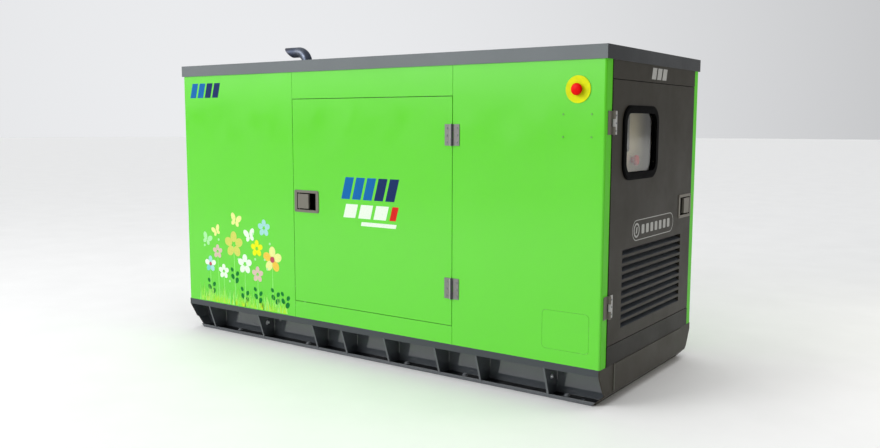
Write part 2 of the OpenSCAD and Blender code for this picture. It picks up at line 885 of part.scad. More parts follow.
module engine_block() {
    color("#3b5566") difference() {
        union() {
            box([block_x[0], -block_y, block_z[0]], [block_x[1], block_y, block_z[1]]);
            for (x = [-330:110:0]) rod_y(x, -block_y - 8, block_y + 8, 470, 22);
            rod_x(block_x[1], bell_x, 0, crank_z, bell_r);
        }
        rod_x(block_x[0] - 10, block_x[1] + 20, 0, crank_z, journal_r + run_fit);
        rod_x(block_x[1] + 12, bell_x + 1, 0, crank_z, 165);
    }
}

module engine_head() {
    color("#4a5a62") {
        box([block_x[0], -100, block_z[1]], [block_x[1] - 10, 100, head_z1]);
        difference() {
            box([block_x[0] + 15, -75, head_z1], [block_x[1] - 25, 75, cover_z1]);
            box([block_x[0] + 19, -71, head_z1 - 1], [block_x[1] - 29, 71, cover_z1 - 4]);
        }
        translate([-60, 0, cover_z1]) cylinder(h = 16, r = 30);
        difference() {
            rod_x(block_x[0] - 25, block_x[0], 0, fan_z, 38);
            rod_x(block_x[0] - 26, block_x[0] - 5, 0, fan_z, fan_spindle_r + run_fit);
        }
    }
}

module engine_sump() {
    color("#30373c") difference() {
        union() {
            box([block_x[0] + 20, -110, sump_z0], [block_x[1] - 20, 110, block_z[0]]);
            box([block_x[0] + 10, -118, block_z[0] - 6], [block_x[1] - 10, 118, block_z[0]]);
        }
        box([block_x[0] + 23, -107, sump_z0 + 3], [block_x[1] - 23, 107, block_z[0] + 1]);
    }
}

// Inlet manifold on the -Y side and exhaust manifold on the +Y side
module manifolds() {
    color("#5c4d43") {
        box([-360, -160, 622], [-10, -112, 660]);
        box([-360, 112, 622], [-10, 178, 662]);
        for (x = [-330:100:-30]) {
            box([x - 20, -112, 626], [x + 20, -100, 656]);
            box([x - 20, 100, 626], [x + 20, 112, 656]);
        }
    }
}

module air_cleaner() {
    color("#25282b") {
        rod_x(-300, 10, air_y, air_z, air_r);
        rod_x(-312, -300, air_y, air_z, air_r + 4);
        rod_x(10, 40, air_y, air_z, 60);
        translate([-150, -136, 660]) cylinder(h = 150, r = 24);
    }
}

module filters() {
    color("#d8d4c8") {
        translate([-165, -180, 360]) cylinder(h = 130, r = 46);
        rod_y(-165, -180, -120, 510, 20);
        translate([-165, -180, 490]) cylinder(h = 44, r = 40);
        translate([30, -175, 520]) cylinder(h = 110, r = 38);
        box([0, -210, 630], [60, -100, 646]);
    }
}

module starter_motor() {
    color("#33363a") {
        rod_x(-130, 80, 178, 395, 42);
        rod_x(-120, 10, 178, 460, 26);
        box([-60, 160, 430], [-20, 196, 450]);
    }
}

module charging_alternator() {
    color("#9a9c9e") difference() {
        union() {
            rod_x(-410, -300, charge_y, charge_z, 60);
            rod_x(-300, -288, charge_y, charge_z, 44);
            box([-390, charge_y + 50, charge_z - 12], [-320, -120, charge_z + 12]);
        }
        rod_x(-411, -330, charge_y, charge_z, charge_spindle_r + run_fit);
    }
}

// Outline of the belt run over the three pulleys, seen along X
module belt_outline(t) {
    hull() {
        translate([0, crank_z]) circle(crank_pulley_r + t);
        translate([0, fan_z]) circle(fan_pulley_r + t);
        translate([charge_y, charge_z]) circle(charge_pulley_r + t);
    }
}

module drive_belt() {
    color("#141414") plate_x(pulley_x + 3, pulley_x + pulley_w - 3) difference() {
        belt_outline(8);
        belt_outline(0.5);
    }
}

// Radiator core, tanks, shroud ring and legs
module radiator() {
    color("#1e1f21") {
        x0 = radiator_x[0];
        x1 = radiator_x[1];
        y1 = radiator_y;
        box([x0, -y1, radiator_z[0]], [x1, y1, radiator_z[1]]);
        box([x0 - 4, -y1 - 12, radiator_z[1]], [x1 + 4, y1 + 12, radiator_z[1] + 55]);
        box([x0 - 4, -y1 - 12, radiator_z[0] - 50], [x1 + 4, y1 + 12, radiator_z[0]]);
        for (y = [-y1 - 12, y1 - 18]) box([x0 + 5, y, base_h], [x1 - 5, y + 30, radiator_z[0] - 50]);
        difference() {
            union() {
                box([x1, -y1, radiator_z[0]], [x1 + 6, y1, radiator_z[1]]);
                rod_x(x1 + 6, x1 + 70, 0, fan_z, shroud_r + 8);
            }
            rod_x(x1 - 1, x1 + 75, 0, fan_z, shroud_r);
        }
        translate([(x0 + x1) / 2, 120, radiator_z[1] + 55]) cylinder(h = 18, r = 24);
        translate([(x0 + x1) / 2, 120, radiator_z[1] + 73]) cylinder(h = 10, r = 32);
    }
}

// Shell, stator and end shield of the generator, with its terminal box
module generator_housing() {
    color("#3b5566") {
        difference() {
            union() {
                rod_x(gen_x[0], gen_x[1], 0, crank_z, bell_r);
                rod_x(gen_x[1], gen_x[2], 0, crank_z, 150);
                box([330, -130, 560], [570, 130, 700]);
            }
            rod_x(gen_x[0] - 1, gen_x[0] + 80, 0, crank_z, cavity_r);
            rod_x(gen_x[0] - 1, gen_x[1] - 10, 0, crank_z, gen_bore_r);
            rod_x(gen_x[1] - 110, gen_x[1] - 10, 0, crank_z, cavity_r);
            rod_x(gen_x[1] - 20, gen_x[2] - 10, 0, crank_z, journal_r + run_fit);
            box([333, -127, 592], [567, 127, 697]);
        }
    }
}

// Bearers on the floor, rubber mounts and their brackets
module engine_mounts() {
    shelf_z = base_h + bearer_h + rubber_h;
    color("#2c2c2c") for (s = [0, 1]) mirror([0, s, 0]) {
        difference() {
            box([bearer_x[0], bearer_y[0], base_h], [bearer_x[1], bearer_y[1], base_h + bearer_h]);
            box([bearer_x[0] - 1, bearer_y[0] + plate, base_h - 1],
                [bearer_x[1] + 1, bearer_y[1] - plate, base_h + bearer_h - plate]);
        }
        for (x = mount_x)
            translate([x, (bearer_y[0] + bearer_y[1]) / 2, base_h + bearer_h])
                cylinder(h = rubber_h, r = 32);
        box([mount_x[0] - 40, block_y, shelf_z], [mount_x[0] + 40, bearer_y[1] + 5, shelf_z + 12]);
        box([mount_x[0] - 40, block_y, shelf_z + 12], [mount_x[0] + 40, block_y + 10, crank_z + 20]);
        difference() {
            box([mount_x[1] - 40, block_y, shelf_z], [mount_x[1] + 40, bearer_y[1] + 5, shelf_z + 70]);
            rod_x(mount_x[1] - 50, mount_x[1] + 50, 0, crank_z, bell_r);
        }
    }
}

module battery() {
    color("#1a1b1e") {
        top = base_h + battery_h;
        box([battery_x[0], battery_y[0], base_h], [battery_x[1], battery_y[1], top]);
        box([battery_x[0] - 5, battery_y[0] - 5, top], [battery_x[1] + 5, battery_y[1] + 5, top + 15]);
        for (x = [battery_x[0] + 40, battery_x[1] - 40])
            translate([x, battery_y[0] + 35, top + 15]) cylinder(h = 16, r = 9);
    }
}

// Crank pulley, shaft, flywheel and rotor, one solid of revolution along X
module crank_train() {
    p = crank_pulley_r;
    color("#7d7f82") translate([0, 0, crank_z]) rotate([0, 90, 0]) rotate_extrude()
        polygon([[0, pulley_x - 5], [26, pulley_x - 5], [26, pulley_x], [p, pulley_x],
            [p, pulley_x + pulley_w],
            [journal_r, pulley_x + pulley_w], [journal_r, 102], [160, 102], [160, 134], [40, 134],
            [40, 250], [110, 270], [110, 490], [30, 510], [30, 578], [journal_r, 578], [journal_r, 628],
            [0, 628]]);
}

// Fan, hub and pulley on one spindle
module cooling_fan() {
    color("#d8d8d2") {
        rod_x(fan_x - 20, block_x[0] - 6, 0, fan_z, fan_spindle_r);
        rod_x(pulley_x, pulley_x + pulley_w, 0, fan_z, fan_pulley_r);
        rod_x(fan_x - 18, fan_x + 18, 0, fan_z, 44);
        for (a = [0:60:300]) translate([fan_x, 0, fan_z]) rotate([a, 0, 0])
            translate([0, 0, 40]) rotate([0, 0, 32]) translate([-2, -38, 0]) cube([4, 76, fan_r - 47]);
    }
}

module alternator_pulley() {
    color("#7d7f82") {
        rod_x(-470, -340, charge_y, charge_z, charge_spindle_r);
        rod_x(pulley_x, pulley_x + pulley_w, charge_y, charge_z, charge_pulley_r);
    }
}

// ---- nodes ------------------------------------------------------------------

base_rail_front();
base_rail_rear();
base_end_plates();
base_end_covers();
cross_members();
floor_plate();
flange_bolts();
fuel_tank();
fuel_cap();
wall_front_left();
wall_front_mid();
wall_front_right();
wall_rear_panels();
end_left_panel();
end_header();
end_sill();
door_frame_end();
outlet_cover();
roof_panel();
exhaust_tail();
silencer();
door_seals();
hinge_fixed_leaves();
wall_rivets();
stop_plate();
stop_button();
control_box();
controller();
panel_stop();
key_switch();
breaker_lever();
engine_block();
engine_head();
engine_sump();
manifolds();
air_cleaner();
filters();
starter_motor();
charging_alternator();
drive_belt();
radiator();
generator_housing();
engine_mounts();
battery();
crank_train();
cooling_fan();
alternator_pulley();
door_front_panel();
door_front_foam();
door_front_fittings();
latch_front_paddle();
door_rear_panel();
door_rear_foam();
door_rear_fittings();
latch_rear_paddle();
door_end_panel();
door_end_fittings();
window_gasket();
window_glass();
latch_end_paddle();
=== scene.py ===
"""Looks of the skid-mounted silenced generator set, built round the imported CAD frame.

+X is the control end, -Y the side with the stop button, Z = 0 the ground. Lengths are in metres.
"""
import json
import random
from math import cos, pi, radians, sin

import bmesh
import bpy
from mathutils import Matrix, Vector

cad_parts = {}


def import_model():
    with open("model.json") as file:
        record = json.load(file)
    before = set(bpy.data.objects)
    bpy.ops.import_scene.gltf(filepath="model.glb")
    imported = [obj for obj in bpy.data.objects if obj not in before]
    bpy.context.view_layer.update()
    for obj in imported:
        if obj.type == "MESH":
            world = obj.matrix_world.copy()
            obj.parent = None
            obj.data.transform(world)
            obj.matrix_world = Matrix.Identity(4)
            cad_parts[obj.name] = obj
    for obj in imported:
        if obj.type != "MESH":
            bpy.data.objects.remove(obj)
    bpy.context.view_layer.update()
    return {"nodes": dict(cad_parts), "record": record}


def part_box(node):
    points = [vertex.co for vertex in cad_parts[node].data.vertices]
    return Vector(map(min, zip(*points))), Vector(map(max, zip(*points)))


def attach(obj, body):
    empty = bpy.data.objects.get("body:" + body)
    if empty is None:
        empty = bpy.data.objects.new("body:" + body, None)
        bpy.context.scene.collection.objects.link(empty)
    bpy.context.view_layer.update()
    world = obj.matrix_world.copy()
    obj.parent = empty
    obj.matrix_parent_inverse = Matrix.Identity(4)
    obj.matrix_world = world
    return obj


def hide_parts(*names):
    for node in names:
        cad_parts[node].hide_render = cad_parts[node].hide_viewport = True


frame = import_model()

MM = 0.001
X, Y, Z = Vector((1, 0, 0)), Vector((0, 1, 0)), Vector((0, 0, 1))

# ---- places taken from the frame ----

NODES = frame["nodes"]
FRONT_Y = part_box("wall_front_mid")[0].y
HALF_Y = -FRONT_Y
END_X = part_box("end_header")[1].x
BASE_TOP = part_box("wall_front_left")[0].z
ROOF_END, _, ROOF_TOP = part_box("roof_panel")[1]
HINGE_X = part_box("door_front_panel")[1].x + 2 * MM
SIDE_DOOR_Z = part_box("door_front_panel")[0].z
END_DOOR_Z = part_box("door_end_panel")[0].z
BATTERY_LO, BATTERY_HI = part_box("battery")


# ---- shader graphs ----

def rgb(code):
    """Linear colour of an sRGB hex code, with alpha 1."""
    parts = [int(code[i:i + 2], 16) / 255 for i in (0, 2, 4)]
    return [p / 12.92 if p < 0.04045 else ((p + 0.055) / 1.055) ** 2.4 for p in parts] + [1.0]


def scaled(colour, factor):
    """The colour made lighter or darker, and still opaque."""
    return [min(1.0, c * factor) for c in colour[:3]] + [1.0]


class Graph:
    """The node tree of a material or a world, with short calls for the nodes used here."""

    def __init__(self, block, coordinates="Object"):
        block.use_nodes = True
        self.block = block
        self.tree = block.node_tree
        self.tree.nodes.clear()
        self.place = self.add("ShaderNodeTexCoord").outputs[coordinates]

    def add(self, kind, inputs=None, **settings):
        """Makes a node. inputs maps its sockets to numbers, or to other nodes' outputs."""
        node = self.tree.nodes.new(kind)
        for key, value in settings.items():
            setattr(node, key, value)
        for key, value in (inputs or {}).items():
            if isinstance(value, bpy.types.NodeSocket):
                self.tree.links.new(value, node.inputs[key])
            else:
                node.inputs[key].default_value = value
        return node

    def noise(self, scale, detail=3.0, rough=0.5, stretch=None):
        place = self.place
        if stretch:
            place = self.add("ShaderNodeMapping", {"Vector": place, "Scale": stretch}).outputs[0]
        inputs = {"Vector": place, "Scale": scale, "Detail": detail, "Roughness": rough}
        return self.add("ShaderNodeTexNoise", inputs).outputs[0]

    def cells(self, scale):
        """Distance to the nearest of many scattered points."""
        return self.add("ShaderNodeTexVoronoi", {"Vector": self.place, "Scale": scale}).outputs[0]

    def level(self, value, low, high, out_low=0.0, out_high=1.0):
        """Maps low..high to out_low..out_high, and clamps."""
        inputs = {0: value, 1: low, 2: high, 3: out_low, 4: out_high}
        return self.add("ShaderNodeMapRange", inputs).outputs[0]

    def math(self, operation, a, b):
        return self.add("ShaderNodeMath", {0: a, 1: b}, operation=operation).outputs[0]

    def dot(self, a, b):
        return self.add("ShaderNodeVectorMath", {0: a, 1: b}, operation="DOT_PRODUCT").outputs["Value"]

    def mix(self, factor, a, b):
        return self.add("ShaderNodeMix", {0: factor, 6: a, 7: b}, data_type="RGBA").outputs[2]

    def tones(self, factor, base, low, high):
        """From low times to high times the base colour."""
        return self.mix(factor, scaled(base, low), scaled(base, high))

    def part(self, vector, axis):
        return self.add("ShaderNodeSeparateXYZ", {0: vector}).outputs[axis]

    def normal(self):
        return self.add("ShaderNodeNewGeometry").outputs["Normal"]

    def dust(self, scale, detail, rough, amount):
        """Up to amount in patches on faces that look up, 0 on walls and below."""
        upward = self.level(self.part(self.normal(), 2), 0.3, 0.9)
        return self.math("MULTIPLY", upward,
                         self.level(self.noise(scale, detail, rough), 0.35, 0.75, 0.0, amount))

    def edges(self, radius):
        """1 along sharp edges, 0 on open faces."""
        smooth = self.add("ShaderNodeBevel", {"Radius": radius}, samples=4).outputs[0]
        return self.level(self.dot(smooth, self.normal()), 0.86, 0.99, 1.0, 0.0)

    def bump(self, height, distance, strength, below=None):
        """Normal with the height's relief, over another bump where below names one."""
        inputs = {"Strength": strength, "Distance": distance, "Height": height}
        if below is not None:
            inputs["Normal"] = below
        return self.add("ShaderNodeBump", inputs).outputs[0]

    def surface(self, colour, roughness, normal, **constants):
        """Ends the graph in one Principled shader. constants are socket names with _ for spaces."""
        inputs = {"Base Color": colour, "Roughness": roughness, "Normal": normal}
        inputs.update({key.replace("_", " "): value for key, value in constants.items()})
        shader = self.add("ShaderNodeBsdfPrincipled", inputs)
        self.add("ShaderNodeOutputMaterial", {"Surface": shader.outputs[0]})
        return self.block


def material_graph(name):
    return Graph(bpy.data.materials.new(name))


# ---- materials ----

def paint(name, code, rough=0.42, tone=0.06, peel=0.05, dust=0.12, chip=None, shine=0.5, coat=0.0):
    """Sprayed or powder-coated sheet: orange peel, cloudy tone, dusty tops, edges rubbed to chip."""
    g = material_graph(name)
    base = rgb(code)
    cloud = g.noise(1.6, 4.0, 0.55)
    colour = g.tones(g.level(cloud, 0.3, 0.7), base, 1 - tone, 1 + tone)
    speckle = g.noise(420.0, 2.0)
    colour = g.mix(g.level(speckle, 0.62, 0.8, 0.0, 0.10), colour, scaled(base, 1.35))
    dirt = g.dust(14.0, 5.0, 0.6, dust)
    colour = g.mix(dirt, colour, rgb("B5AE9E"))
    if chip:
        worn = g.math("MULTIPLY", g.edges(1.2 * MM), g.level(g.noise(60.0, 4.0, 0.65), 0.52, 0.66))
        colour = g.mix(g.math("MULTIPLY", worn, 0.8), colour, rgb(chip))
    roughness = g.level(g.noise(7.0, 4.0, 0.6), 0.3, 0.75, rough - 0.05, rough + 0.08)
    roughness = g.math("ADD", roughness, g.math("MULTIPLY", dirt, 0.5))
    skin = g.bump(g.noise(330.0, 1.5), peel * MM, 0.9)
    wave = g.bump(g.noise(2.6, 1.0), 1.1 * MM, 0.35, skin)
    return g.surface(colour, roughness, wave, Coat_Weight=coat, Coat_Roughness=0.14,
                     Specular_IOR_Level=shine)


def enamel(name, code, rough=0.3, tone=0.05, peel=0.05, chip=None):
    """Paint under a thin gloss coat."""
    return paint(name, code, rough, tone, peel, chip=chip, coat=0.25)


def plated(name, code, rough=0.32, tarnish="6A6458", metallic=1.0):
    """Zinc-plated or machined steel: drawn grain, spangle and dull patches."""
    g = material_graph(name)
    base = rgb(code)
    spangle = g.cells(900.0)
    colour = g.tones(g.level(spangle, 0.0, 0.6), base, 0.85, 1.12)
    colour = g.mix(g.level(g.noise(45.0, 5.0, 0.65), 0.55, 0.8, 0.0, 0.45), colour, rgb(tarnish))
    lines = g.noise(900.0, 2.0, 0.5, (1, 1, 60))
    roughness = g.level(lines, 0.3, 0.7, rough - 0.08, rough + 0.14)
    return g.surface(colour, roughness, g.bump(lines, 0.03 * MM, 0.7), Metallic=metallic)


def cast(name, code, rough=0.5, grit=0.25, oil=0.35, metallic=0.0):
    """Sand-cast metal under enamel, or bare: pebbled skin with painted shade in its hollows, darker oily
    hollows, edges rubbed and also lightened as a painted highlight.
    """
    g = material_graph(name)
    base = rgb(code)
    pebble = g.noise(260.0, 4.0, 0.6)
    stain = g.level(g.noise(11.0, 5.0, 0.6), 0.42, 0.7, 0.0, oil)
    # pebble hollows a little darker than its tops: painted shade
    colour = g.tones(g.level(pebble, 0.3, 0.7), base, 0.82, 1.15)
    colour = g.mix(stain, colour, scaled(base, 0.25))
    # all sharp edges lighter: rubbed paint, and also a painted highlight
    colour = g.mix(g.math("MULTIPLY", g.edges(1.5 * MM), 0.35), colour, scaled(base, 1.9))
    roughness = g.level(stain, 0.0, 0.35, rough, rough - 0.2)
    return g.surface(colour, roughness, g.bump(pebble, grit * MM, 0.8), Metallic=metallic)


def moulded(name, code, rough, grain=0.04, scratch=0.1, shine=0.5):
    """Moulded plastic or rubber: fine spark grain, mould bloom and faint scratches."""
    g = material_graph(name)
    base = rgb(code)
    bloom = g.noise(18.0, 5.0, 0.6)
    colour = g.tones(g.level(bloom, 0.35, 0.75), base, 0.88, 1.25)
    rub = g.level(g.noise(120.0, 3.0, 0.5, (1, 1, 9)), 0.64, 0.76, 0.0, scratch)
    colour = g.mix(rub, colour, scaled(base, 2.2))
    roughness = g.level(bloom, 0.3, 0.8, rough - 0.06, rough + 0.12)
    return g.surface(colour, roughness, g.bump(g.cells(1400.0), grain * MM, 0.7), Specular_IOR_Level=shine)


def open_foam(name, code):
    """Open-cell acoustic foam: pitted cells over a soft, light-soaking body."""
    g = material_graph(name)
    base = rgb(code)
    pits = g.cells(520.0)
    fine = g.noise(900.0, 3.0, 0.6)
    height = g.math("ADD", g.math("MULTIPLY", pits, 0.8), g.math("MULTIPLY", fine, 0.4))
    # pits painted darker than the cell walls: painted shade in the cells
    colour = g.tones(g.level(pits, 0.1, 0.55), base, 0.35, 1.5)
    colour = g.mix(g.level(g.noise(6.0, 3.0), 0.45, 0.75, 0.0, 0.25), colour, rgb("57544E"))
    return g.surface(colour, 0.95, g.bump(height, 0.5 * MM, 0.9), Sheen_Weight=0.15)


def heated(name, code):
    """Exhaust steel: blue and straw heat tint in bands over a brushed, sooty tube."""
    g = material_graph(name)
    base = rgb(code)
    band = g.noise(9.0, 3.0, 0.6)
    colour = g.mix(g.level(band, 0.35, 0.5), base, rgb("4A5263"))
    colour = g.mix(g.level(band, 0.55, 0.72, 0.0, 0.5), colour, rgb("5A4A3E"))
    colour = g.mix(g.level(g.noise(70.0, 5.0, 0.65), 0.55, 0.75, 0.0, 0.5), colour, rgb("2A2A2C"))
    lines = g.noise(700.0, 2.0)
    roughness = g.level(g.noise(30.0, 4.0), 0.3, 0.7, 0.28, 0.5)
    return g.surface(colour, roughness, g.bump(lines, 0.05 * MM, 0.8), Metallic=0.75)


def glazing(name):
    """Thin clear sheet with a little smear."""
    g = material_graph(name)
    smear = g.noise(9.0, 4.0, 0.6)
    roughness = g.level(smear, 0.4, 0.8, 0.03, 0.12)
    return g.surface(rgb("F4F4EC"), roughness, g.bump(smear, 0.1 * MM, 0.3),
                     Transmission_Weight=1.0, IOR=1.45, Specular_IOR_Level=0.5)


def two_tone_roof(name, side_code, end_code, half_length):
    """Roof paint: mid grey, with both end flanges dark."""
    g = material_graph(name)
    along = g.math("ABSOLUTE", g.part(g.place, 0), 0.0)
    at_end = g.level(along, half_length - 0.6 * MM, half_length - 0.4 * MM)
    tint = g.mix(at_end, rgb(side_code), rgb(end_code))
    cloud = g.noise(1.9, 4.0, 0.55)
    colour = g.mix(g.level(cloud, 0.3, 0.7, 0.0, 0.12), tint, g.mix(0.5, tint, rgb("A9AFB2")))
    colour = g.mix(g.dust(9.0, 6.0, 0.62, 0.12), colour, rgb("A39C8C"))
    worn = g.math("MULTIPLY", g.edges(1.2 * MM), g.level(g.noise(70.0, 4.0), 0.54, 0.7, 0.0, 0.4))
    colour = g.mix(worn, colour, rgb("9EA3A5"))
    roughness = g.level(g.noise(8.0, 4.0, 0.6), 0.3, 0.75, 0.36, 0.5)
    skin = g.bump(g.noise(330.0, 1.5), 0.05 * MM, 0.8)
    return g.surface(colour, roughness, skin, Specular_IOR_Level=0.2)


def unlit_screen(name):
    """Unlit display glass with a faint dot grid."""
    g = material_graph(name)
    grid = g.cells(700.0)
    colour = g.mix(g.level(grid, 0.2, 0.5), rgb("1F2A26"), rgb("2C3A33"))
    return g.surface(colour, 0.12, g.bump(grid, 0.01 * MM, 0.4), Coat_Weight=1.0, Coat_Roughness=0.05)


GREEN = "59C526"
DARK_SHEET = dict(tone=0.08, peel=0.09, chip="77746A")
SMOOTH_CAP = dict(grain=0.01, scratch=0.02, shine=0.1)
# by name, without the number that Blender adds where the CAD has a material of that name
MATERIALS = {material.name.split(".")[0]: material for material in (
    # slots of the record
    paint("canopy_green", GREEN, 0.15, 0.02, 0.02, dust=0.2, chip="B9C9A8"),
    paint("end_dark", "34312A", shine=0.13, **DARK_SHEET),
    two_tone_roof("roof_grey", "626769", "303133", ROOF_END),
    paint("base_grey", "44484C", 0.07, 0.07, 0.01, dust=0.06, chip="83807A", shine=0.9),
    plated("zinc", "6F6E6C", metallic=0.3),
    paint("latch_grey", "6B675E", peel=0.08, chip="A09D93", shine=0.3),
    plated("bolt_steel", "7C7E82", 0.42),
    moulded("rubber_black", "020202", 0.6, 0.03, 0.03, shine=0.04),
    open_foam("foam_black", "222226"),
    glazing("window_clear"),
    moulded("stop_yellow", "CCD300", 0.45, **SMOOTH_CAP),
    moulded("stop_red", "DC0000", 0.4, **SMOOTH_CAP),
    enamel("control_beige", "DCD0B4", 0.42, 0.03, 0.1, "D5D0C2"),
    moulded("control_dark", "22262B", 0.4, 0.05),
    enamel("tank_black", "242526", 0.45, 0.1, 0.1, "6D6A64"),
    heated("exhaust_steel", "626873"),
    cast("engine_blue", "3F6076"),
    cast("engine_alloy", "A9AAAB", 0.42, grit=0.15, oil=0.25, metallic=0.85),
    enamel("engine_dark", "2C3034", 0.4, 0.1, 0.12, "7A776F"),
    cast("manifold_iron", "5D483A", 0.75, grit=0.4, oil=0.3),
    enamel("filter_white", "D6D1C4", tone=0.03, chip="9A968A"),
    moulded("plastic_black", "1B1B1D", 0.42, 0.06),
    enamel("radiator_black", "1F2022", 0.55, 0.12, 0.1, "5B5A57"),
    plated("machined_steel", "A2A4A6", 0.26, "6B5D4C"),
    moulded("belt_rubber", "121212", 0.6, 0.08),
    # shades of some faces only
    # painted shade: the rails' outer lip a darker copy of base_grey, in tone with the shaded web
    paint("rail_lip_shade", "383C40", 0.35, 0.07, 0.03, dust=0.06, chip="83807A", shine=0.3),
    # painted shade: the flange tops near black, as in the shadow under the base's overhang
    paint("rail_foot_shade", "0D1014", 0.6, 0.1, 0.04, dust=0.0, shine=0.1),
    paint("hinge_shade", "4A4D4F", 0.4, peel=0.04),
    paint("sill_dark", "25231E", shine=0.13, **DARK_SHEET),
    paint("plate_dark", "3A372F", shine=0.16, **DARK_SHEET),
    # painted highlight: a pale line along the end covers' front and back edges
    paint("cover_edge_highlight", "77776F", 0.4, 0.05),
    paint("return_green", GREEN, 0.35, 0.02, 0.02, dust=0.2, shine=0.1),
    # painted highlight on hinge knuckles and leaves turned to the light
    paint("hinge_highlight", "A9A9A6", 0.35, peel=0.04),
    paint("bolt_dull", "6A6E72", 0.4, peel=0.04),
    paint("rivet_dull", "5C9A42", 0.5, 0.05, 0.02),
    # painted shade inside the louvre recesses
    paint("louvre_shade", "33383E", 0.35, dust=0.05, shine=0.3),
)}
SLOT_OF = {s["node"]: s["material_slot"] for s in frame["record"]["subparts"]}


# ---- CAD nodes: rounded edges and their slot's material ----

# slots and single nodes with thin or generous edges; the others have plain ones
THIN = {"canopy_green", "control_beige", "latch_grey", "roof_grey", "stop_yellow", "window_clear", "zinc",
        "wall_rivets", "breaker_lever", "key_switch", "door_end_panel", "door_frame_end", "end_header",
        "end_left_panel", "end_sill", "exhaust_tail"}
CAST = {"engine_alloy", "engine_blue", "manifold_iron", "radiator_black", "engine_sump", "starter_motor",
        "filters", "air_cleaner", "battery"}
THIN_EDGE, PLAIN_EDGE, CAST_EDGE = 0.45 * MM, 1.0 * MM, 3.0 * MM
SKIN = 0.5 * MM  # deeper than this behind the outer face counts as inside
HINGE_ZONE = 0.2  # a side door's fittings farther from its hinge line than this are its latch
KNUCKLE = 12 * MM  # reach of the hinge knuckles from the hinge line
# panel, way out along X, lowest and highest louvre face
LOUVRES = (("door_end_panel", 1, 0.25, 0.56), ("end_left_panel", -1, 0.32, 0.93))


def bevel(obj, width, angle):
    """Rounds the edges sharper than angle degrees, with a modifier."""
    modifier = obj.modifiers.new("bevel", "BEVEL")
    modifier.width = width
    modifier.segments = 2
    modifier.limit_method = "ANGLE"
    modifier.angle_limit = radians(angle)


def dress(obj, edge):
    """Welds a node's split corners, rounds its edges and evens its normals, all with modifiers."""
    weld = obj.modifiers.new("weld", "WELD")
    weld.merge_threshold = 0.01 * MM
    flat = obj.modifiers.new("flat", "DECIMATE")
    flat.decimate_type = "DISSOLVE"
    flat.angle_limit = radians(0.3)
    bevel(obj, edge, 38)
    normals = obj.modifiers.new("normals", "WEIGHTED_NORMAL")
    normals.weight = 100
    normals.keep_sharp = False


def recolour(node_name, key, inside):
    """Gives the faces whose middle passes inside(centre, normal) another material."""
    mesh = NODES[node_name].data
    mesh.materials.append(MATERIALS[key])
    for face in mesh.polygons:
        if inside(face.center, face.normal):
            face.material_index = len(mesh.materials) - 1


for node_name, node in NODES.items():
    slot_name = SLOT_OF[node_name]
    mesh = node.data
    mesh.materials.clear()
    mesh.materials.append(MATERIALS[slot_name])
    mesh.polygons.foreach_set("use_smooth", [True] * len(mesh.polygons))
    kinds = {node_name, slot_name}
    dress(node, THIN_EDGE if kinds & THIN else CAST_EDGE if kinds & CAST else PLAIN_EDGE)

for side in ("front", "rear"):
    fittings, rail = f"door_{side}_fittings", f"base_rail_{side}"
    recolour(fittings, "latch_grey", lambda c, n: abs(c.x - HINGE_X) > HINGE_ZONE)
    recolour(fittings, "rubber_black",
             lambda c, n: abs(c.x - HINGE_X) > HINGE_ZONE and abs(c.y) < HALF_Y - SKIN)
    # flange tops painted near black: painted shade under the base's overhang
    recolour(rail, "rail_foot_shade", lambda c, n: n.z > 0.5 and c.z < 10 * MM)
    # outer lip faces painted darker than the rail's grey: painted shade
    recolour(rail, "rail_lip_shade", lambda c, n: abs(n.y) > 0.9 and abs(c.y) > HALF_Y - MM)
for panel, end, low, high in LOUVRES:
    # faces inside the louvre recesses painted dark bluish grey: painted shade
    recolour(panel, "louvre_shade", lambda c, n: low < c.z < high and end * c.x < END_X - SKIN
             and abs(n.y) < 0.9 and end * n.x > 0.1)
recolour("door_end_fittings", "latch_grey", lambda c, n: c.y > 0)
recolour("door_end_fittings", "rubber_black", lambda c, n: c.y > 0 and c.x < END_X - SKIN)
# the end hinge's leaf on the door gets a painted highlight
recolour("door_end_fittings", "hinge_highlight", lambda c, n: c.y < 0)
recolour("base_end_plates", "base_grey", lambda c, n: n.x * c.x < -0.5)
recolour("base_end_plates", "plate_dark", lambda c, n: n.x * c.x > 0.5)
recolour("base_end_covers", "plate_dark", lambda c, n: abs(n.y) < 0.9)
# the covers' front and back faces painted pale: a painted highlight
recolour("base_end_covers", "cover_edge_highlight", lambda c, n: abs(n.y) > 0.9)
# the end hinge's fixed leaf gets the darker latch grey: painted shade beside the green return
recolour("hinge_fixed_leaves", "latch_grey", lambda c, n: c.x > 1.0)
for node_name in ("door_front_fittings", "door_rear_fittings", "hinge_fixed_leaves"):
    # knuckle faces turned to the key light get a painted highlight, those turned away painted shade
    recolour(node_name, "hinge_highlight", lambda c, n: abs(c.x - HINGE_X) < KNUCKLE and n.x < -0.15)
    recolour(node_name, "hinge_shade", lambda c, n: abs(c.x - HINGE_X) < KNUCKLE and n.x > 0.15)
for wall in ("wall_front_right", "wall_front_left", "wall_rear_panels"):
    recolour(wall, "return_green", lambda c, n: n.x * c.x > 0.9)
for node_name, key in (("end_sill", "sill_dark"), ("flange_bolts", "bolt_dull"),
                       ("wall_rivets", "rivet_dull")):
    recolour(node_name, key, lambda c, n: True)
recolour("battery", "machined_steel", lambda c, n: c.z > BATTERY_HI.z - 14 * MM)


# ---- mesh tools ----

def placed(name, data):
    """Object of the data, in the scene."""
    obj = bpy.data.objects.new(name, data)
    bpy.context.scene.collection.objects.link(obj)
    return obj


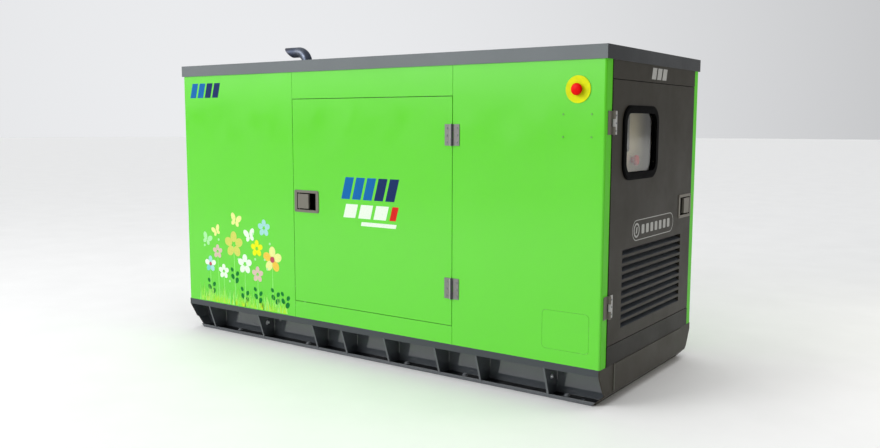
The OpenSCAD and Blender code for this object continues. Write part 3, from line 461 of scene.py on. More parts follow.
def piece(name, bm, slot, angle=35, edge=0.0, body="frame", materials=None):
    """Makes the object, shades it smooth up to angle, and lets it ride on its body."""
    bmesh.ops.recalc_face_normals(bm, faces=bm.faces)
    mesh = bpy.data.meshes.new(name)
    bm.to_mesh(mesh)
    bm.free()
    for material in materials or [MATERIALS[slot]]:
        mesh.materials.append(material)
    mesh.polygons.foreach_set("use_smooth", [True] * len(mesh.polygons))
    mesh.set_sharp_from_angle(angle=radians(angle))
    obj = placed(name, mesh)
    if edge:
        bevel(obj, edge, 40)
    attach(obj, body)
    return obj


def at(origin, out=Z, up=None):
    """Placing matrix: local Z points out, local Y as near up as it can."""
    n = Vector(out).normalized()
    v = Vector(up) if up is not None else (Z if abs(n.z) < 0.9 else Y)
    u = v.cross(n).normalized()
    v = n.cross(u)
    return Matrix.Translation(Vector(origin)) @ Matrix((u, v, n)).transposed().to_4x4()


def polar(radius, angle, centre=(0, 0)):
    """Point at a distance and an angle from a centre."""
    return centre[0] + radius * cos(angle), centre[1] + radius * sin(angle)


def around(count, start=0.0):
    """Evenly spaced angles of one full turn."""
    return [start + 2 * pi * k / count for k in range(count)]


def pairs(count):
    """Each index round a closed loop, with the next one."""
    return [(i, (i + 1) % count) for i in range(count)]


def round_axis(middle, radius, angles, axis=Z):
    """Placing matrices on a circle round X or Z, each facing away from the axis."""
    u, v = (X, Y) if axis == Z else (Y, Z)
    outs = [u * cos(a) + v * sin(a) for a in angles]
    return [at(Vector(middle) + out * radius, out, axis) for out in outs]


def prism(bm, outline, place, low, high, material=0):
    """Closed plate: an outline in the place's XY plane, from low to high along its Z."""
    rings = [[bm.verts.new(place @ Vector((x, y, z))) for x, y in outline] for z in (low, high)]
    faces = [bm.faces.new(list(reversed(rings[0]))), bm.faces.new(rings[1])]
    for i, j in pairs(len(outline)):
        faces.append(bm.faces.new((rings[0][i], rings[0][j], rings[1][j], rings[1][i])))
    for face in faces:
        face.material_index = material


def lathe(bm, profile, place, steps=32):
    """Turned solid: (radius, height) points from the axis out and back, round the place's Z."""
    rings = []
    for radius, height in profile:
        angles = around(steps) if radius > 0 else [0.0]
        rings.append([bm.verts.new(place @ Vector((*polar(radius, a), height))) for a in angles])
    for low, high in zip(rings, rings[1:]):
        for i, j in pairs(steps):
            corners = (low[i % len(low)], low[j % len(low)], high[j % len(high)], high[i % len(high)])
            bm.faces.new(list(dict.fromkeys(corners)))


def drum(bm, radius, height, place, steps=32):
    """Plain cylinder that stands on its place."""
    lathe(bm, [(0, 0), (radius, 0), (radius, height), (0, height)], place, steps)


def curve(points, steps=8):
    """Catmull-Rom curve through the points."""
    pts = [Vector(p) for p in points]
    pts = [2 * pts[0] - pts[1]] + pts + [2 * pts[-1] - pts[-2]]
    out = []
    for a, b, c, d in zip(pts, pts[1:], pts[2:], pts[3:]):
        for k in range(steps):
            t = k / steps
            out.append(0.5 * (2 * b + (c - a) * t + (2 * a - 5 * b + 4 * c - d) * t * t
                              + (3 * b - a - 3 * c + d) * t ** 3))
    return out + [pts[-2]]


def hoop(centre, u, v, radius, steps):
    """Points once round a circle in the plane of u and v, the first one again at the end."""
    return [Vector(centre) + (u * cos(a) + v * sin(a)) * radius
            for a in (*around(steps), 2 * pi)]


def tube(bm, points, radius, sides=14, ripple=0.0):
    """Round tube along points. Every other ring is wider by the ripple."""
    rings = []
    side = (points[1] - points[0]).orthogonal().normalized()
    for i, p in enumerate(points):
        ahead = points[min(i + 1, len(points) - 1)] - points[max(i - 1, 0)]
        ahead.normalize()
        side = (side - ahead * side.dot(ahead)).normalized()
        other = ahead.cross(side)
        r = radius + (0.0 if i % 2 else ripple)
        rings.append([bm.verts.new(p + (side * cos(a) + other * sin(a)) * r)
                      for a in around(sides)])
    bm.faces.new(list(reversed(rings[0])))
    bm.faces.new(rings[-1])
    for low, high in zip(rings, rings[1:]):
        for i, j in pairs(sides):
            bm.faces.new((low[i], low[j], high[j], high[i]))


def rounded(width, height, radius, centre=(0, 0), steps=5):
    """Outline of a rectangle with round corners."""
    out = []
    for sx, sy, start in ((1, 1, 0), (-1, 1, 90), (-1, -1, 180), (1, -1, 270)):
        corner = (centre[0] + sx * (width / 2 - radius), centre[1] + sy * (height / 2 - radius))
        for k in range(steps + 1):
            out.append(polar(radius, radians(start + 90 * k / steps), corner))
    return out


def oblong(half_width, half_height):
    """Outline of a plain rectangle round the origin."""
    w, h = half_width, half_height
    return [(-w, -h), (w, -h), (w, h), (-w, h)]


def turned(u, v, turn, centre):
    """The point (u, v) from the centre, turned round it by turn degrees."""
    t = radians(turn)
    return centre[0] + u * cos(t) - v * sin(t), centre[1] + u * sin(t) + v * cos(t)


def ellipse(centre, a, b, turn=0.0, steps=14):
    """Outline of an ellipse, its half-axis a turned by turn degrees."""
    return [turned(a * cos(k), b * sin(k), turn, centre) for k in around(steps)]


def ring(centre, outer, inner, steps=14):
    """Ring as two half outlines, so that each stays one simple polygon."""
    halves = []
    for start in (0, 180):
        arc = [radians(start + 180 * k / steps) for k in range(steps + 1)]
        sides = [(outer, a) for a in arc] + [(inner, a) for a in reversed(arc)]
        halves.append([polar(radius, a, centre) for radius, a in sides])
    return halves


def hex_bolt(bm, place, size):
    """Hexagon head with a chamfer over a washer. size is half the width over the corners."""
    washer, head, top = 0.16 * size, 0.76 * size, 0.90 * size
    drum(bm, 1.35 * size, washer, place, 20)
    prism(bm, [polar(size, a) for a in around(6)], place, washer, head)
    lathe(bm, [(0, head), (0.86 * size, head), (0.72 * size, top), (0, top)], place, 6)


def pan_screw(bm, place, radius):
    """Domed screw head with a round recess."""
    profile = ((0, 0), (1, 0), (1, 0.25), (0.8, 0.5), (0.5, 0.62), (0.22, 0.64), (0.16, 0.4), (0, 0.36))
    lathe(bm, [(r * radius, h * radius) for r, h in profile], place, 20)


def screws(name, spots, radius, slot="bolt_steel", head=pan_screw, body="frame"):
    """One piece of screw or bolt heads. spots is a list of (point, way out)."""
    bm = bmesh.new()
    for point, out in spots:
        head(bm, at(point, out), radius)
    piece(name, bm, slot, 40, body=body)


# ---- printed marks ----

FRONT = at((0, FRONT_Y, 0), -Y, Z)
END = at((END_X, 0, 0), X, Z)
FILM_BACK, FILM_FACE, FILM_STEP, FILM_LEVELS = -0.05 * MM, 0.18 * MM, 0.004 * MM, 40
LEAN = 0.28


def ink(name, code):
    """Printed film: slightly mottled colour under a satin skin."""
    g = material_graph(name)
    base = scaled(rgb(code), 0.84)
    grain = g.noise(260.0, 3.0)
    colour = g.tones(g.level(grain, 0.35, 0.7), base, 0.9, 1.1)
    roughness = g.level(grain, 0.3, 0.7, 0.3, 0.45)
    return g.surface(colour, roughness, g.bump(grain, 0.02 * MM, 0.6), Specular_IOR_Level=0.1)


INKS = {key: ink("ink_" + key, code) for key, code in {
    "white": "E9F6E4", "blue": "0A66AC", "navy": "142C60", "red": "D8201A", "yellow": "EDF012",
    "cream": "EBEE96", "tan": "D2D766", "pink": "D9BFB2", "sky": "A4DCD6", "aqua": "78D2C8",
    "orange": "EFC84C", "rose": "C04A5E", "mint": "AEEBA6", "leaf": "007A2C", "stem": "8EEA6E",
    "grass": "90E644", "straw": "BDE22C", "tip": "A8EA6C", "silver": "B4B4B0"}.items()}


def printed(name, shapes, place, slot, body="frame"):
    """Films cut to outlines. shapes is a list of (ink, outline); neighbours in it lie at other heights."""
    names = sorted({key for key, _ in shapes})
    bm = bmesh.new()
    for i, (key, outline) in enumerate(shapes):
        prism(bm, outline, place, FILM_BACK, FILM_FACE + (i % FILM_LEVELS) * FILM_STEP, names.index(key))
    piece(name, bm, slot, body=body, materials=[INKS[key] for key in names])


def slanted_bar(x, z, width, height):
    """Outline of a bar that leans to the right."""
    shift = height * LEAN
    return [(x, z), (x + width, z), (x + width + shift, z + height), (x + shift, z + height)]


def bar_mark(x, z, width, height, inks):
    """Row of leaning bars with gaps between them, one for each ink."""
    step = (width - LEAN * height) / len(inks)
    return [(key, slanted_bar(x + i * step, z, 0.78 * step, height)) for i, key in enumerate(inks)]


def bar_marks():
    """Mark at the upper left of the front, a larger one on its door, and a pale one on the header."""
    printed("corner_mark", bar_mark(-1.029, 1.100, 0.220, 0.066, ["blue"] * 2 + ["navy"] * 2), FRONT,
            "canopy_green")
    shapes = bar_mark(-0.095, 0.676, 0.316, 0.090, ["blue"] * 3 + ["navy"] * 2)
    for i in range(3):
        shapes.append(("white", slanted_bar(-0.084 + i * 0.080, 0.600, 0.064, 0.056)))
    shapes.append(("red", slanted_bar(0.158, 0.600, 0.032, 0.056)))
    shapes.append(("white", slanted_bar(0.010, 0.570, 0.180, 0.016)))
    printed("door_mark", shapes, FRONT, "canopy_green", "door_front")
    printed("header_mark", bar_mark(-0.066, 1.148, 0.168, 0.042, ["silver"] * 3), END, "end_dark")


def door_badge():
    """Outlined capsule on the end door, with a barred ring and seven blocks in it."""
    middle_z, rim, radius = 0.601, 3 * MM, 37 * MM
    width, height, middle = 0.410, 0.076, (-0.002, middle_z)
    outline = rounded(width, height, radius, middle, 8)
    inner = rounded(width - 2 * rim, height - 2 * rim, radius - rim, middle, 8)
    shapes = [[outline[i], outline[j], inner[j], inner[i]] for i, j in pairs(len(outline))]
    shapes += ring((-0.168, middle_z), 0.027, 0.020)
    shapes.append(slanted_bar(-0.176, 0.590, 0.010, 0.022))
    shapes += [rounded(0.026, 0.034, 0.005, (-0.108 + i * 0.043, middle_z), 3) for i in range(7)]
    printed("door_badge", [("silver", shape) for shape in shapes], END, "end_dark", "door_end")


def flower(x, z, size, petals, eye):
    """Five petals that take the inks of petals in turn, and an eye where eye names an ink."""
    shapes = []
    for k in range(5):
        turn = 90 + 72 * k
        middle = polar(0.55 * size, radians(turn), (x, z))
        shapes.append((petals[k % len(petals)], ellipse(middle, 0.38 * size, 0.31 * size, turn)))
    if eye:
        shapes.append((eye, ellipse((x, z), 0.22 * size, 0.22 * size)))
    return shapes


def butterfly(x, z, size, ink_name, turn):
    """Two large and two small wings."""
    shapes = []
    for side in (1, -1):
        for reach, lift, a, b, lean in ((0.42, 0.30, 0.48, 0.31, 50), (0.30, -0.26, 0.32, 0.24, -48)):
            middle = turned(side * reach * size, lift * size, turn, (x, z))
            angle = turn + (lean if side > 0 else 180 - lean)
            shapes.append((ink_name, ellipse(middle, a * size, b * size, angle)))
    return shapes


def blade(x, z, width, height, lean):
    """Blade of grass: a leaning spike."""
    return [(x - width / 2, z), (x + width / 2, z), (x + lean * 0.45 + width / 4, z + height * 0.6),
            (x + lean, z + height), (x + lean * 0.45 - width / 4, z + height * 0.6)]


# x, z, size, inks of the petals, ink of the eye, whether it has a stem
FLOWERS = ((-0.920, 0.325, 0.042, "sky white aqua", "rose", True), (-0.868, 0.388, 0.036, "pink", "", True),
           (-0.828, 0.298, 0.038, "white", "", True), (-0.756, 0.430, 0.066, "tan", "", True),
           (-0.684, 0.345, 0.050, "white", "", True), (-0.602, 0.306, 0.040, "pink", "", True),
           (-0.604, 0.424, 0.042, "yellow", "", False), (-0.556, 0.520, 0.042, "sky", "", False),
           (-0.506, 0.382, 0.064, "cream orange", "rose", True))
LEAVES = ((-0.914, 0.214), (-0.752, 0.280), (-0.687, 0.196), (-0.600, 0.204), (-0.490, 0.212),
          (-0.428, 0.202))
# x, z, size, ink, turn in degrees
BUTTERFLIES = ((-0.740, 0.541, 0.044, "cream", -14), (-0.874, 0.484, 0.036, "cream", 24),
               (-0.940, 0.440, 0.040, "mint", -22), (-0.650, 0.478, 0.044, "white", 12))
# inks, number of blades, greatest height
GRASS = (("grass stem tip", 170, 0.085), ("straw grass", 150, 0.042))


def meadow():
    """Printed flowers, grass and butterflies low on the left of the front."""
    rng = random.Random(4)
    ground = BASE_TOP + 4 * MM
    shapes = []
    for inks, count, tall in GRASS:
        for _ in range(count):
            x = rng.uniform(-1.000, -0.420)
            height = tall * rng.uniform(0.45, 1.0)
            outline = blade(x, ground, rng.uniform(0.004, 0.008), height, rng.uniform(-0.016, 0.016))
            shapes.append((rng.choice(inks.split()), outline))
    for x, z, size, petals, eye, stemmed in FLOWERS:
        if stemmed:
            foot = x + rng.uniform(-0.006, 0.010)
            shapes.append(("stem", [(foot - 3 * MM, ground), (foot + 3 * MM, ground),
                                    (x + 2 * MM, z), (x - 2 * MM, z)]))
        shapes += flower(x, z, size, petals.split(), eye)
    for x, z in LEAVES:
        for k in range(4):
            side = (-1) ** k
            middle = (x + side * 0.012 * (1 + 0.2 * k), z + 0.016 * (k - 1))
            shapes.append(("leaf", ellipse(middle, 0.0155 - 0.0015 * k, 0.0115 - 0.001 * k, 90 - side * 38)))
    for row in BUTTERFLIES:
        shapes += butterfly(*row)
    for _ in range(9):
        dot = rng.uniform(-0.980, -0.460), rng.uniform(0.250, 0.500)
        shapes.append(("mint", ellipse(dot, 6 * MM, 6 * MM, 0, 10)))
    printed("meadow", shapes, FRONT, "canopy_green")


# ---- fastenings of the doors ----

DOOR_HINGE_ZS = [SIDE_DOOR_Z + d for d in (0.1425, 0.7245)]
END_HINGE_ZS = [END_DOOR_Z + d for d in (0.137, 0.770)]
END_HINGE_Y = -0.4035
LEAF_REACH, LEAF_T, SCREW_PITCH = 23 * MM, 2.5 * MM, 26 * MM
LATCH = Vector((-0.291, FRONT_Y, 0.654))
END_LATCH = Vector((END_X, 0.328, 0.654))
LATCH_SCREW_U, LATCH_SCREW_V = 63 * MM, 41 * MM


def on_rear(spot):
    """The same spot of the front side on the rear side."""
    point, _ = spot
    return Vector((point[0], -point[1], point[2])), Y


def hinge_screws():
    """Three screws in each hinge leaf."""
    rows = (-SCREW_PITCH, 0.0, SCREW_PITCH)
    zs = [z + dz for z in DOOR_HINGE_ZS for dz in rows]
    fixed = [((HINGE_X + LEAF_REACH, FRONT_Y - LEAF_T, z), -Y) for z in zs]
    moving = [((HINGE_X - LEAF_REACH, FRONT_Y - LEAF_T, z), -Y) for z in zs]
    end = [((END_X + LEAF_T, END_HINGE_Y + LEAF_REACH, z + dz), X) for z in END_HINGE_ZS for dz in rows]
    spots = {"frame": [s for spot in fixed for s in (spot, on_rear(spot))], "door_front": moving,
             "door_rear": [on_rear(spot) for spot in moving], "door_end": end}
    for body, places in spots.items():
        screws(f"hinge_screws_{body}", places, 3.6 * MM, body=body)


def latch_screws():
    """Four small screws in each latch plate."""
    corners = [(sx * LATCH_SCREW_U, sz * LATCH_SCREW_V) for sx in (-1, 1) for sz in (-1, 1)]
    front = [(LATCH + Vector((u, -LEAF_T, v)), -Y) for u, v in corners]
    end = [(END_LATCH + Vector((LEAF_T, u, v)), X) for u, v in corners]
    sides = {"door_front": front, "door_rear": [on_rear(spot) for spot in front], "door_end": end}
    for body, spots in sides.items():
        screws(f"latch_screws_{body}", spots, 2.6 * MM, "latch_grey", body=body)


# ---- base ----

GUSSET_XS = [k * MM for k in (-939, -608, -273, -104, 124, 376, 568, 858)]
GUSSET_HALF = 4 * MM
WEB_Y, FOOT_TOP = -0.353, 6 * MM


def weld_bead(bm, start, end):
    """Rippled weld bead between two points."""
    radius, pitch, ripple = 2.2 * MM, 2.4 * MM, 0.5 * MM
    start, end = Vector(start), Vector(end)
    count = int((end - start).length / pitch)
    tube(bm, [start.lerp(end, k / count) for k in range(count + 1)], radius, 6, ripple)


def base_welds():
    """Beads where each gusset meets the web and the flange, on both rails."""
    under = BASE_TOP - 6.5 * MM
    for side, turn in (("front", 1), ("rear", -1)):
        bm = bmesh.new()
        for x in GUSSET_XS:
            for px in (x - GUSSET_HALF, x + GUSSET_HALF):
                weld_bead(bm, (px, turn * WEB_Y, FOOT_TOP + 4 * MM), (px, turn * WEB_Y, BASE_TOP - 7 * MM))
                weld_bead(bm, (px, turn * (FRONT_Y + 12 * MM), under), (px, turn * (WEB_Y - 4 * MM), under))
        piece(f"rail_welds_{side}", bm, "base_grey", 50)


# ---- acoustic foam ----

def foam_pad(name, body, low, high, inward, step=12.5 * MM, node=None):
    """Egg-crate foam slab that fills the box low..high, with its bumps towards inward."""
    pitch = 50 * MM
    axis = max(range(3), key=lambda i: abs(inward[i]))
    u, v = [i for i in range(3) if i != axis]
    sign = 1 if inward[axis] > 0 else -1
    back = low[axis] if sign > 0 else high[axis]
    depth = high[axis] - low[axis]
    nu = round((high[u] - low[u]) / step)
    nv = round((high[v] - low[v]) / step)
    bm = bmesh.new()

    def vert(i, j, height):
        point = [0.0, 0.0, 0.0]
        point[u] = low[u] + (high[u] - low[u]) * i / nu
        point[v] = low[v] + (high[v] - low[v]) * j / nv
        point[axis] = back + sign * height
        return bm.verts.new(point)

    def bump(i, j):
        wave = sin(2 * pi * step * i / pitch) * sin(2 * pi * step * j / pitch)
        return depth * ((0.74 + 0.26 * wave) if min(i, j, nu - i, nv - j) else 0.5)

    grid = [[vert(i, j, bump(i, j)) for j in range(nv + 1)] for i in range(nu + 1)]
    for i in range(nu):
        for j in range(nv):
            bm.faces.new((grid[i][j], grid[i + 1][j], grid[i + 1][j + 1], grid[i][j + 1]))
    border = ([(i, 0) for i in range(nu)] + [(nu, j) for j in range(nv)]
              + [(i, nv) for i in range(nu, 0, -1)] + [(0, j) for j in range(nv, 0, -1)])
    rim = [grid[i][j] for i, j in border]
    under = [vert(i, j, 0.0) for i, j in border]
    for i, j in pairs(len(border)):
        bm.faces.new((rim[i], under[i], under[j], rim[j]))
    bm.faces.new(under)
    obj = piece(name, bm, "foam_black", 70, body=body)
    if node:
        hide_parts(node)


def foam():
    """Pads in both side doors, on the walls beside them and under the roof."""
    for side, inward in (("front", Y), ("rear", -Y)):
        node_name = f"door_{side}_foam"
        low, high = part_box(node_name)
        foam_pad(f"door_{side}_pad", f"door_{side}", low, high, inward, 8.4 * MM, node_name)
    wall, thick, low, high = HALF_Y - 3 * MM, 26 * MM, 0.20, 1.19
    for key, x0, x1 in (("left", -1.045, -0.420), ("right", 0.510, 1.045)):
        foam_pad(f"wall_pad_front_{key}", "frame", (x0, -wall, low), (x1, -wall + thick, high), Y)
        foam_pad(f"wall_pad_rear_{key}", "frame", (x0, wall - thick, low), (x1, wall, high), -Y)
    roof_y, low, high = 0.40, ROOF_TOP - 34 * MM, ROOF_TOP - 6 * MM
    for k, (x0, x1) in enumerate(((-1.04, -0.78), (-0.64, -0.12), (-0.11, 0.43), (0.44, 1.04))):
        foam_pad(f"roof_pad_{k}", "frame", (x0, -roof_y, low), (x1, roof_y, high), -Z)


def louvre_baffle():
    """Dark felt strip behind the end door's louvres, inside the door's fold: a baffle, and also painted
    shade seen through them.
    """
    bm = bmesh.new()
    prism(bm, rounded(0.60, 0.32, 4 * MM, (0.0, 0.405)), END, -26 * MM, -22 * MM)
    piece("louvre_baffle", bm, "foam_black", body="door_end")


# ---- engine, generator and cooling ----

CRANK_Z = 0.400
CYLINDER_XS = [k * MM for k in (-330, -220, -110, 0)]
HEAD_TOP = 0.680


def ring_spots(centre, out, radius, count, start):
    """Points round a circle, each with the same way out."""
    place = at(centre, out)
    return [(place @ Vector((*polar(radius, a), 0)), out) for a in around(count, start)]


def engine_fasteners():
    """Hexagon heads on the rocker cover, the head, the sump flange, the manifolds and the bell."""
    cover_top, head_y, flange_y, port_y, rear_port_y = 0.745, 0.088, 0.118, -0.160, 0.178
    spots = [((x, 0, cover_top), Z) for x in (-0.30, -0.19, -0.115)]
    spots += [((x, s * head_y, HEAD_TOP), Z) for x in (-0.385, -0.275, -0.165, -0.055, 0.055)
              for s in (-1, 1)]
    spots += [((x, s * flange_y, 0.327), s * Y) for s in (-1, 1)
              for x in (-0.36, -0.29, -0.22, -0.15, -0.08, -0.01, 0.05)]
    spots += [((x + 30 * MM, port_y, 0.641), -Y) for x in CYLINDER_XS]
    spots += [((x - 30 * MM, port_y, 0.641), -Y) for x in CYLINDER_XS[1:]]
    spots += [((x, rear_port_y, 0.642), Y) for x in (-0.335, -0.25, -0.13, -0.03)]
    bell = ring_spots((0.080, 0, CRANK_Z), -X, 0.176, 12, 0.2)
    spots += [spot for spot in bell if abs(spot[0].y) > 0.125]
    screws("engine_bolts", spots, 7.5 * MM, head=hex_bolt)


def fuel_pipes():
    """Four small pumps on the block's side, each with its steel pipe round the manifold to the head."""
    pump = [(0, -0.01), (0.013, -0.01), (0.013, 0.018), (0.009, 0.022), (0.009, 0.034), (0, 0.034)]
    bm = bmesh.new()
    for cylinder_x in CYLINDER_XS:
        x = cylinder_x + 18 * MM
        base = at((x, -0.120, 0.572), Vector((0, -0.35, 1)))
        lathe(bm, pump, base, 20)
        tip = base @ Vector((0, 0, 0.034))
        path = [tip, tip + Vector((0, -0.006, 0.012)), (x, -0.171, 0.640), (x, -0.165, 0.690),
                (x, -0.120, 0.705), (x, -0.092, 0.697), (x, -0.088, 0.682)]
        tube(bm, curve(path), 3 * MM, 10)
        drum(bm, 8 * MM, 12 * MM, at((x, -0.088, HEAD_TOP), Z), 6)
    piece("fuel_pipes", bm, "machined_steel", 40)


def oil_cap_ribs():
    """Grip ribs round the oil filler cap."""
    bm = bmesh.new()
    for place in round_axis((-0.060, 0, 0.753), 30 * MM, around(12)):
        prism(bm, rounded(6 * MM, 13 * MM, 2 * MM), place, -MM, 2 * MM)
    piece("oil_cap_ribs", bm, "plastic_black")


def dipstick():
    """Bent tube up the block's rear side, with a ring to pull."""
    x = -0.250
    path = [(x, 0.118, 0.380), (x, 0.135, 0.420), (x, 0.140, 0.520), (x, 0.146, 0.588)]
    bm = bmesh.new()
    tube(bm, curve(path), 4.5 * MM, 10)
    tube(bm, hoop((x, 0.147, 0.600), -Z, X, 12 * MM, 16), 2 * MM, 8)
    piece("dipstick", bm, "stop_yellow")


def core_plugs():
    """Pressed cups in both sides of the block."""
    cup = [(0, -0.001), (0.021, -0.001), (0.021, 0.002), (0.018, 0.002), (0.016, -0.0005), (0, -0.0005)]
    bm = bmesh.new()
    for x in (-0.275, -0.165, -0.055):
        for s in (-1, 1):
            lathe(bm, cup, at((x, s * 0.120, CRANK_Z), s * Y), 28)
    piece("core_plugs", bm, "machined_steel")


def lifting_eyes():
    """Ringed plates at two corners of the head."""
    thick, foot = 6 * MM, [(-0.020, -0.032), (0.020, -0.032), (0.014, 0.020), (-0.014, 0.020)]
    bm = bmesh.new()
    for x, y in ((-0.385, 0.060), (0.055, -0.060)):
        place = at((x, y, 0.712), Y if y > 0 else -Y)
        for outline in (*ring((0, 0.034), 20 * MM, 10 * MM), foot):
            prism(bm, outline, place, 0, thick)
    piece("lifting_eyes", bm, "engine_dark", 40, 0.8 * MM)


def air_cleaner_details():
    """Two rolled bands and four spring clips on the air cleaner."""
    y, z, radius = -0.190, 0.860, 88 * MM
    bm = bmesh.new()
    for x in (-0.262, -0.060):
        drum(bm, radius + 2.2 * MM, 18 * MM, at((x, y, z), X), 48)
    for place in round_axis((-0.298, y, z), radius + MM, around(4, radians(45)), X):
        prism(bm, rounded(18 * MM, 48 * MM, 3 * MM), place, 0, 3 * MM)
        wire = [place @ Vector((side * 11 * MM, 18 * MM, 4 * MM)) for side in (-1, 1)]
        tube(bm, wire, 2.4 * MM, 8)
    piece("air_cleaner_bands", bm, "machined_steel")


def filter_details():
    """Pressed ribs and a drain knob on each spin-on filter."""
    knob = [(0, 0), (0.011, 0), (0.011, -0.008), (0.007, -0.012), (0, -0.012)]
    bm = bmesh.new()
    for x, y, z, radius in ((-0.165, -0.180, 0.372, 0.046), (0.030, -0.175, 0.532, 0.038)):
        for place in round_axis((x, y, z + 12 * MM), radius, around(18)):
            prism(bm, rounded(5 * MM, 30 * MM, 2 * MM), place, -MM, 1.6 * MM)
        lathe(bm, knob, at((x, y, z - 12 * MM), Z), 20)
    piece("filter_ribs", bm, "filter_white")


def radiator_fins():
    """Upright tubes and level fins on the radiator's outer face."""
    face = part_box("radiator")[0].x + 4 * MM
    tubes, tube_half, half_width = 44, 1.6 * MM, 0.256
    fins, fin_half, low, high = 84, 0.7 * MM, 0.325, 0.910
    middle = (low + high) / 2
    bm = bmesh.new()
    for k in range(tubes):
        y = half_width * (2 * k / (tubes - 1) - 1)
        prism(bm, oblong(tube_half, (high - low) / 2), at((face, y, middle), -X, Z), -MM, 3.2 * MM)
    for k in range(fins):
        z = low + 5 * MM + (high - low - 9 * MM) * k / (fins - 1)
        prism(bm, oblong(half_width + 2 * MM, fin_half), at((face, 0, z), -X, Z), -MM, 2 * MM)
    piece("radiator_fins", bm, "engine_alloy")


def fan_guard():
    """Wire rings and spokes over the fan."""
    middle = Vector((-0.4705, 0, 0.610))
    bm = bmesh.new()
    for radius in (0.085, 0.120, 0.155, 0.190, 0.222):
        tube(bm, hoop(middle, Y, Z, radius, 56), 1.8 * MM, 8)
    for a in around(6, radians(15)):
        out = Vector((0, cos(a), sin(a)))
        tube(bm, [middle + out * radius for radius in (0.083, 0.226)], 2.2 * MM, 8)
    piece("fan_guard", bm, "zinc", 50)


def generator_details():
    """Bolts of the end shield, the terminal box's lid with its screws, and air slots."""
    screws("generator_bolts", ring_spots((0.640, 0, CRANK_Z), X, 0.132, 8, 0.4), 8 * MM, head=hex_bolt)
    box_x, lid_z, lid_t = 0.450, 0.700, 4 * MM
    bm = bmesh.new()
    prism(bm, rounded(0.246, 0.266, 8 * MM, (box_x, 0.0)), at((0, 0, lid_z), Z, Y), 0, lid_t)
    piece("terminal_lid", bm, "engine_blue", 35, MM)
    lid = [((box_x + sx * 0.110, sy * 0.120, lid_z + lid_t), Z) for sx in (-1, 1) for sy in (-1, 0, 1)]
    screws("terminal_lid_screws", lid, 4.5 * MM)
    shell, long, wide = 0.188, 60 * MM, 10 * MM
    front = [radians(7 * k) for k in range(-4, 5)]
    angles = front + [pi - a for a in front]
    bm = bmesh.new()
    for x, width, height in ((0.575, long, wide), (0.240, wide, long)):
        for place in round_axis((x, 0, CRANK_Z), shell, angles, X):
            prism(bm, rounded(width, height, 4 * MM), place, -MM, 1.2 * MM)
    piece("generator_slots", bm, "rubber_black")


def starter_details():
    """Terminals of the starter motor, and ribs on the charging alternator."""
    y, z = 0.178, 0.462
    bm = bmesh.new()
    for s in (-1, 1):
        drum(bm, 5 * MM, 16 * MM, at((-0.120, y + s * 12 * MM, z), -X), 12)
        drum(bm, 8 * MM, 5 * MM, at((-0.128, y + s * 12 * MM, z), -X), 6)
    for place in round_axis((-0.360, -0.190, 0.540), 60 * MM, around(8), X):
        prism(bm, rounded(4 * MM, 60 * MM, 1.8 * MM), place, -MM, 2 * MM)
    piece("starter_terminals", bm, "machined_steel")


def silencer_straps():
    """Two straps round the silencer's drum."""
    bm = bmesh.new()
    for y in (-0.190, 0.175):
        drum(bm, 97.5 * MM, 30 * MM, at((-0.708, y, 1.020), Y), 56)
    piece("silencer_straps", bm, "zinc")


def battery_details():
    """Vent plugs and the hold-down bar of the battery, with its two rods."""
    low, high = BATTERY_LO, BATTERY_HI
    top, margin = high.z - 16 * MM, 35 * MM
    plug = [(0, 0), (0.012, 0), (0.012, 0.004), (0.009, 0.006), (0.003, 0.006), (0.003, 0.003), (0, 0.003)]
    bm = bmesh.new()
    for k in range(6):
        x = low.x + margin + k * (high.x - low.x - 2 * margin) / 5
        lathe(bm, plug, at((x, high.y - 60 * MM, top), Z), 20)
    piece("battery_plugs", bm, "plastic_black")
    middle_x, middle_y = (low.x + high.x) / 2, (low.y + high.y) / 2
    outline = oblong((high.x - low.x) / 2 + 12 * MM, 12 * MM)
    bm = bmesh.new()
    prism(bm, outline, at((middle_x, middle_y, top), Z, Y), 0, 4 * MM)
    for x in (low.x - 8 * MM, high.x + 8 * MM):
        tube(bm, [Vector((x, middle_y, 0.145)), Vector((x, middle_y, top + 8 * MM))], 4 * MM, 10)
    piece("battery_bar", bm, "zinc", 35, 0.5 * MM)


# ---- control panel ----

def panel_details():
    """Cabinet screws, display glass, lamps and key marks."""
    low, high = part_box("control_box")
    face = high.x
    panel = at((face, 0, 0), X, Z)
    corners = [((face, y, z), X) for y in (low.y + 16 * MM, high.y - 16 * MM) for z in (0.716, 0.890, 1.064)]
    screws("cabinet_screws", corners, 4.5 * MM)
    bm = bmesh.new()
    prism(bm, rounded(0.107, 0.067, 2 * MM, (-0.256, 0.978)), panel, 7.5 * MM, 8.8 * MM)
    piece("display", bm, "control_dark", materials=[unlit_screen("display")])
    lamp = [(0, 0.008), (0.0032, 0.008), (0.0032, 0.0095), (0.0018, 0.0108), (0, 0.0112)]
    bm = bmesh.new()
    for z in (0.952, 0.938):
        for y in (-0.300, -0.284):
            lathe(bm, lamp, at((face, y, z), X), 16)
    piece("panel_lamps", bm, "stop_red")
    long, thin = 8 * MM, 2.2 * MM
    marks = [rounded(long, thin, MM, (-0.240 + i * 0.032, 0.910)) for i in range(-2, 3)]
    marks += [rounded(thin, long, MM, (-0.174, 0.948 + i * 0.028)) for i in range(3)]
    bm = bmesh.new()
    for outline in marks:
        prism(bm, outline, panel, 10.9 * MM, 11.3 * MM)
    piece("key_marks", bm, "control_dark", materials=[INKS["white"]])


for build in (bar_marks, door_badge, meadow, hinge_screws, latch_screws, base_welds, foam, louvre_baffle,
              engine_fasteners, fuel_pipes, oil_cap_ribs, dipstick, core_plugs, lifting_eyes,
              air_cleaner_details, filter_details, radiator_fins, fan_guard, generator_details,
              starter_details, silencer_straps, battery_details, panel_details):
    build()

# ---- stage, lights and camera ----

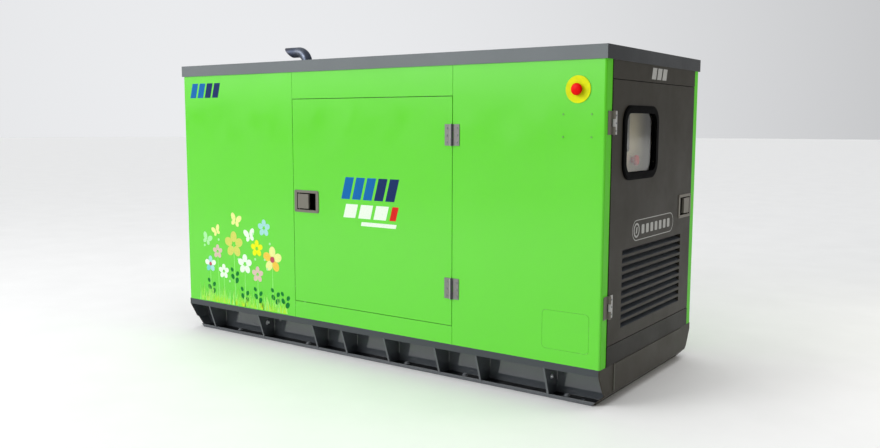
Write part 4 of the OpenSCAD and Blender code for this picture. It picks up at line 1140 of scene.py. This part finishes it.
# direction, how sharply it falls off, radiance it adds, height where it starts
GLOWS = (((-0.57, -0.81, 0.20), 7.0, 2.6, 0.015), ((-0.75, 0.66, 0.0), 2.0, 0.62, -1.0),
         ((-0.2, -0.3, 0.9), 2.0, 0.3, -1.0))
GLOW_EDGE, SURROUND = 0.03, 0.24


def floor():
    """Large pale floor with a hardly visible grain."""
    bm = bmesh.new()
    lathe(bm, [(0, -MM), (60, -MM)], at((0, 0, 0), Z), 96)
    mesh = bpy.data.meshes.new("floor")
    bm.to_mesh(mesh)
    bm.free()
    g = material_graph("floor")
    colour = g.mix(g.level(g.noise(3.0, 5.0, 0.6), 0.3, 0.7), rgb("EDEDEC"), rgb("F1F1F0"))
    mesh.materials.append(g.surface(colour, 0.6, g.bump(g.noise(180.0), 0.1 * MM, 0.3)))
    placed("floor", mesh)


def world():
    """Pale studio surround with the soft glows of GLOWS."""
    studio = bpy.data.worlds.new("studio")
    bpy.context.scene.world = studio
    g = Graph(studio, "Generated")
    height = g.part(g.place, 2)
    total = SURROUND
    for direction, power, radiance, start in GLOWS:
        glow = g.math("MAXIMUM", g.dot(g.place, Vector(direction).normalized()), 0.0)
        glow = g.math("MULTIPLY", g.math("POWER", glow, power), radiance)
        glow = g.math("MULTIPLY", glow, g.level(height, start, start + GLOW_EDGE))
        total = g.math("ADD", glow, total)
    back = g.add("ShaderNodeBackground", {"Color": (0.97, 0.98, 1.0, 1), "Strength": total})
    g.add("ShaderNodeOutputWorld", {"Surface": back.outputs[0]})


def light(name, kind, power, place, target, mirrored=False, **settings):
    """Lamp that faces its target, and shows in mirrors or not."""
    data = bpy.data.lights.new(name, kind)
    data.energy = power
    for key, value in settings.items():
        setattr(data, key, value)
    obj = placed(name, data)
    obj.location = place
    obj.rotation_euler = (Vector(target) - Vector(place)).to_track_quat("-Z", "Y").to_euler()
    obj.visible_glossy = mirrored


def lights():
    """A large key from the front left, a warm fill on the control end, and even light from above."""
    light("key", "AREA", 150, (-2.6, -5.2, 3.4), (0, 0, 0.6), True, shape="RECTANGLE", size=3.2, size_y=2.2)
    light("side", "AREA", 16, (2.9, 1.6, 1.5), (1.08, 0.2, 0.75), shape="RECTANGLE", size=1.4, size_y=1.4,
          color=(1.0, 0.95, 0.86))
    light("overhead", "SUN", 1.1, (0, 0, 0), (0, 0, -1), angle=radians(60))


def camera():
    """Camera at the viewing angle: beyond the control end, on the stop button's side."""
    data = bpy.data.cameras.new("camera")
    data.lens, data.sensor_width = 35.35, 36.0
    data.clip_end = 200
    obj = placed("camera", data)
    turn, down, roll = radians(35.114), radians(6.640), radians(0.134)
    obj.matrix_world = (Matrix.Translation((2.2860, -3.1292, 0.9856)) @ Matrix.Rotation(turn, 4, "Z")
                        @ Matrix.Rotation(pi / 2 - down, 4, "X") @ Matrix.Rotation(roll, 4, "Z"))
    bpy.context.scene.camera = obj


floor()
world()
lights()
camera()
bpy.context.scene.view_settings.view_transform = "Standard"
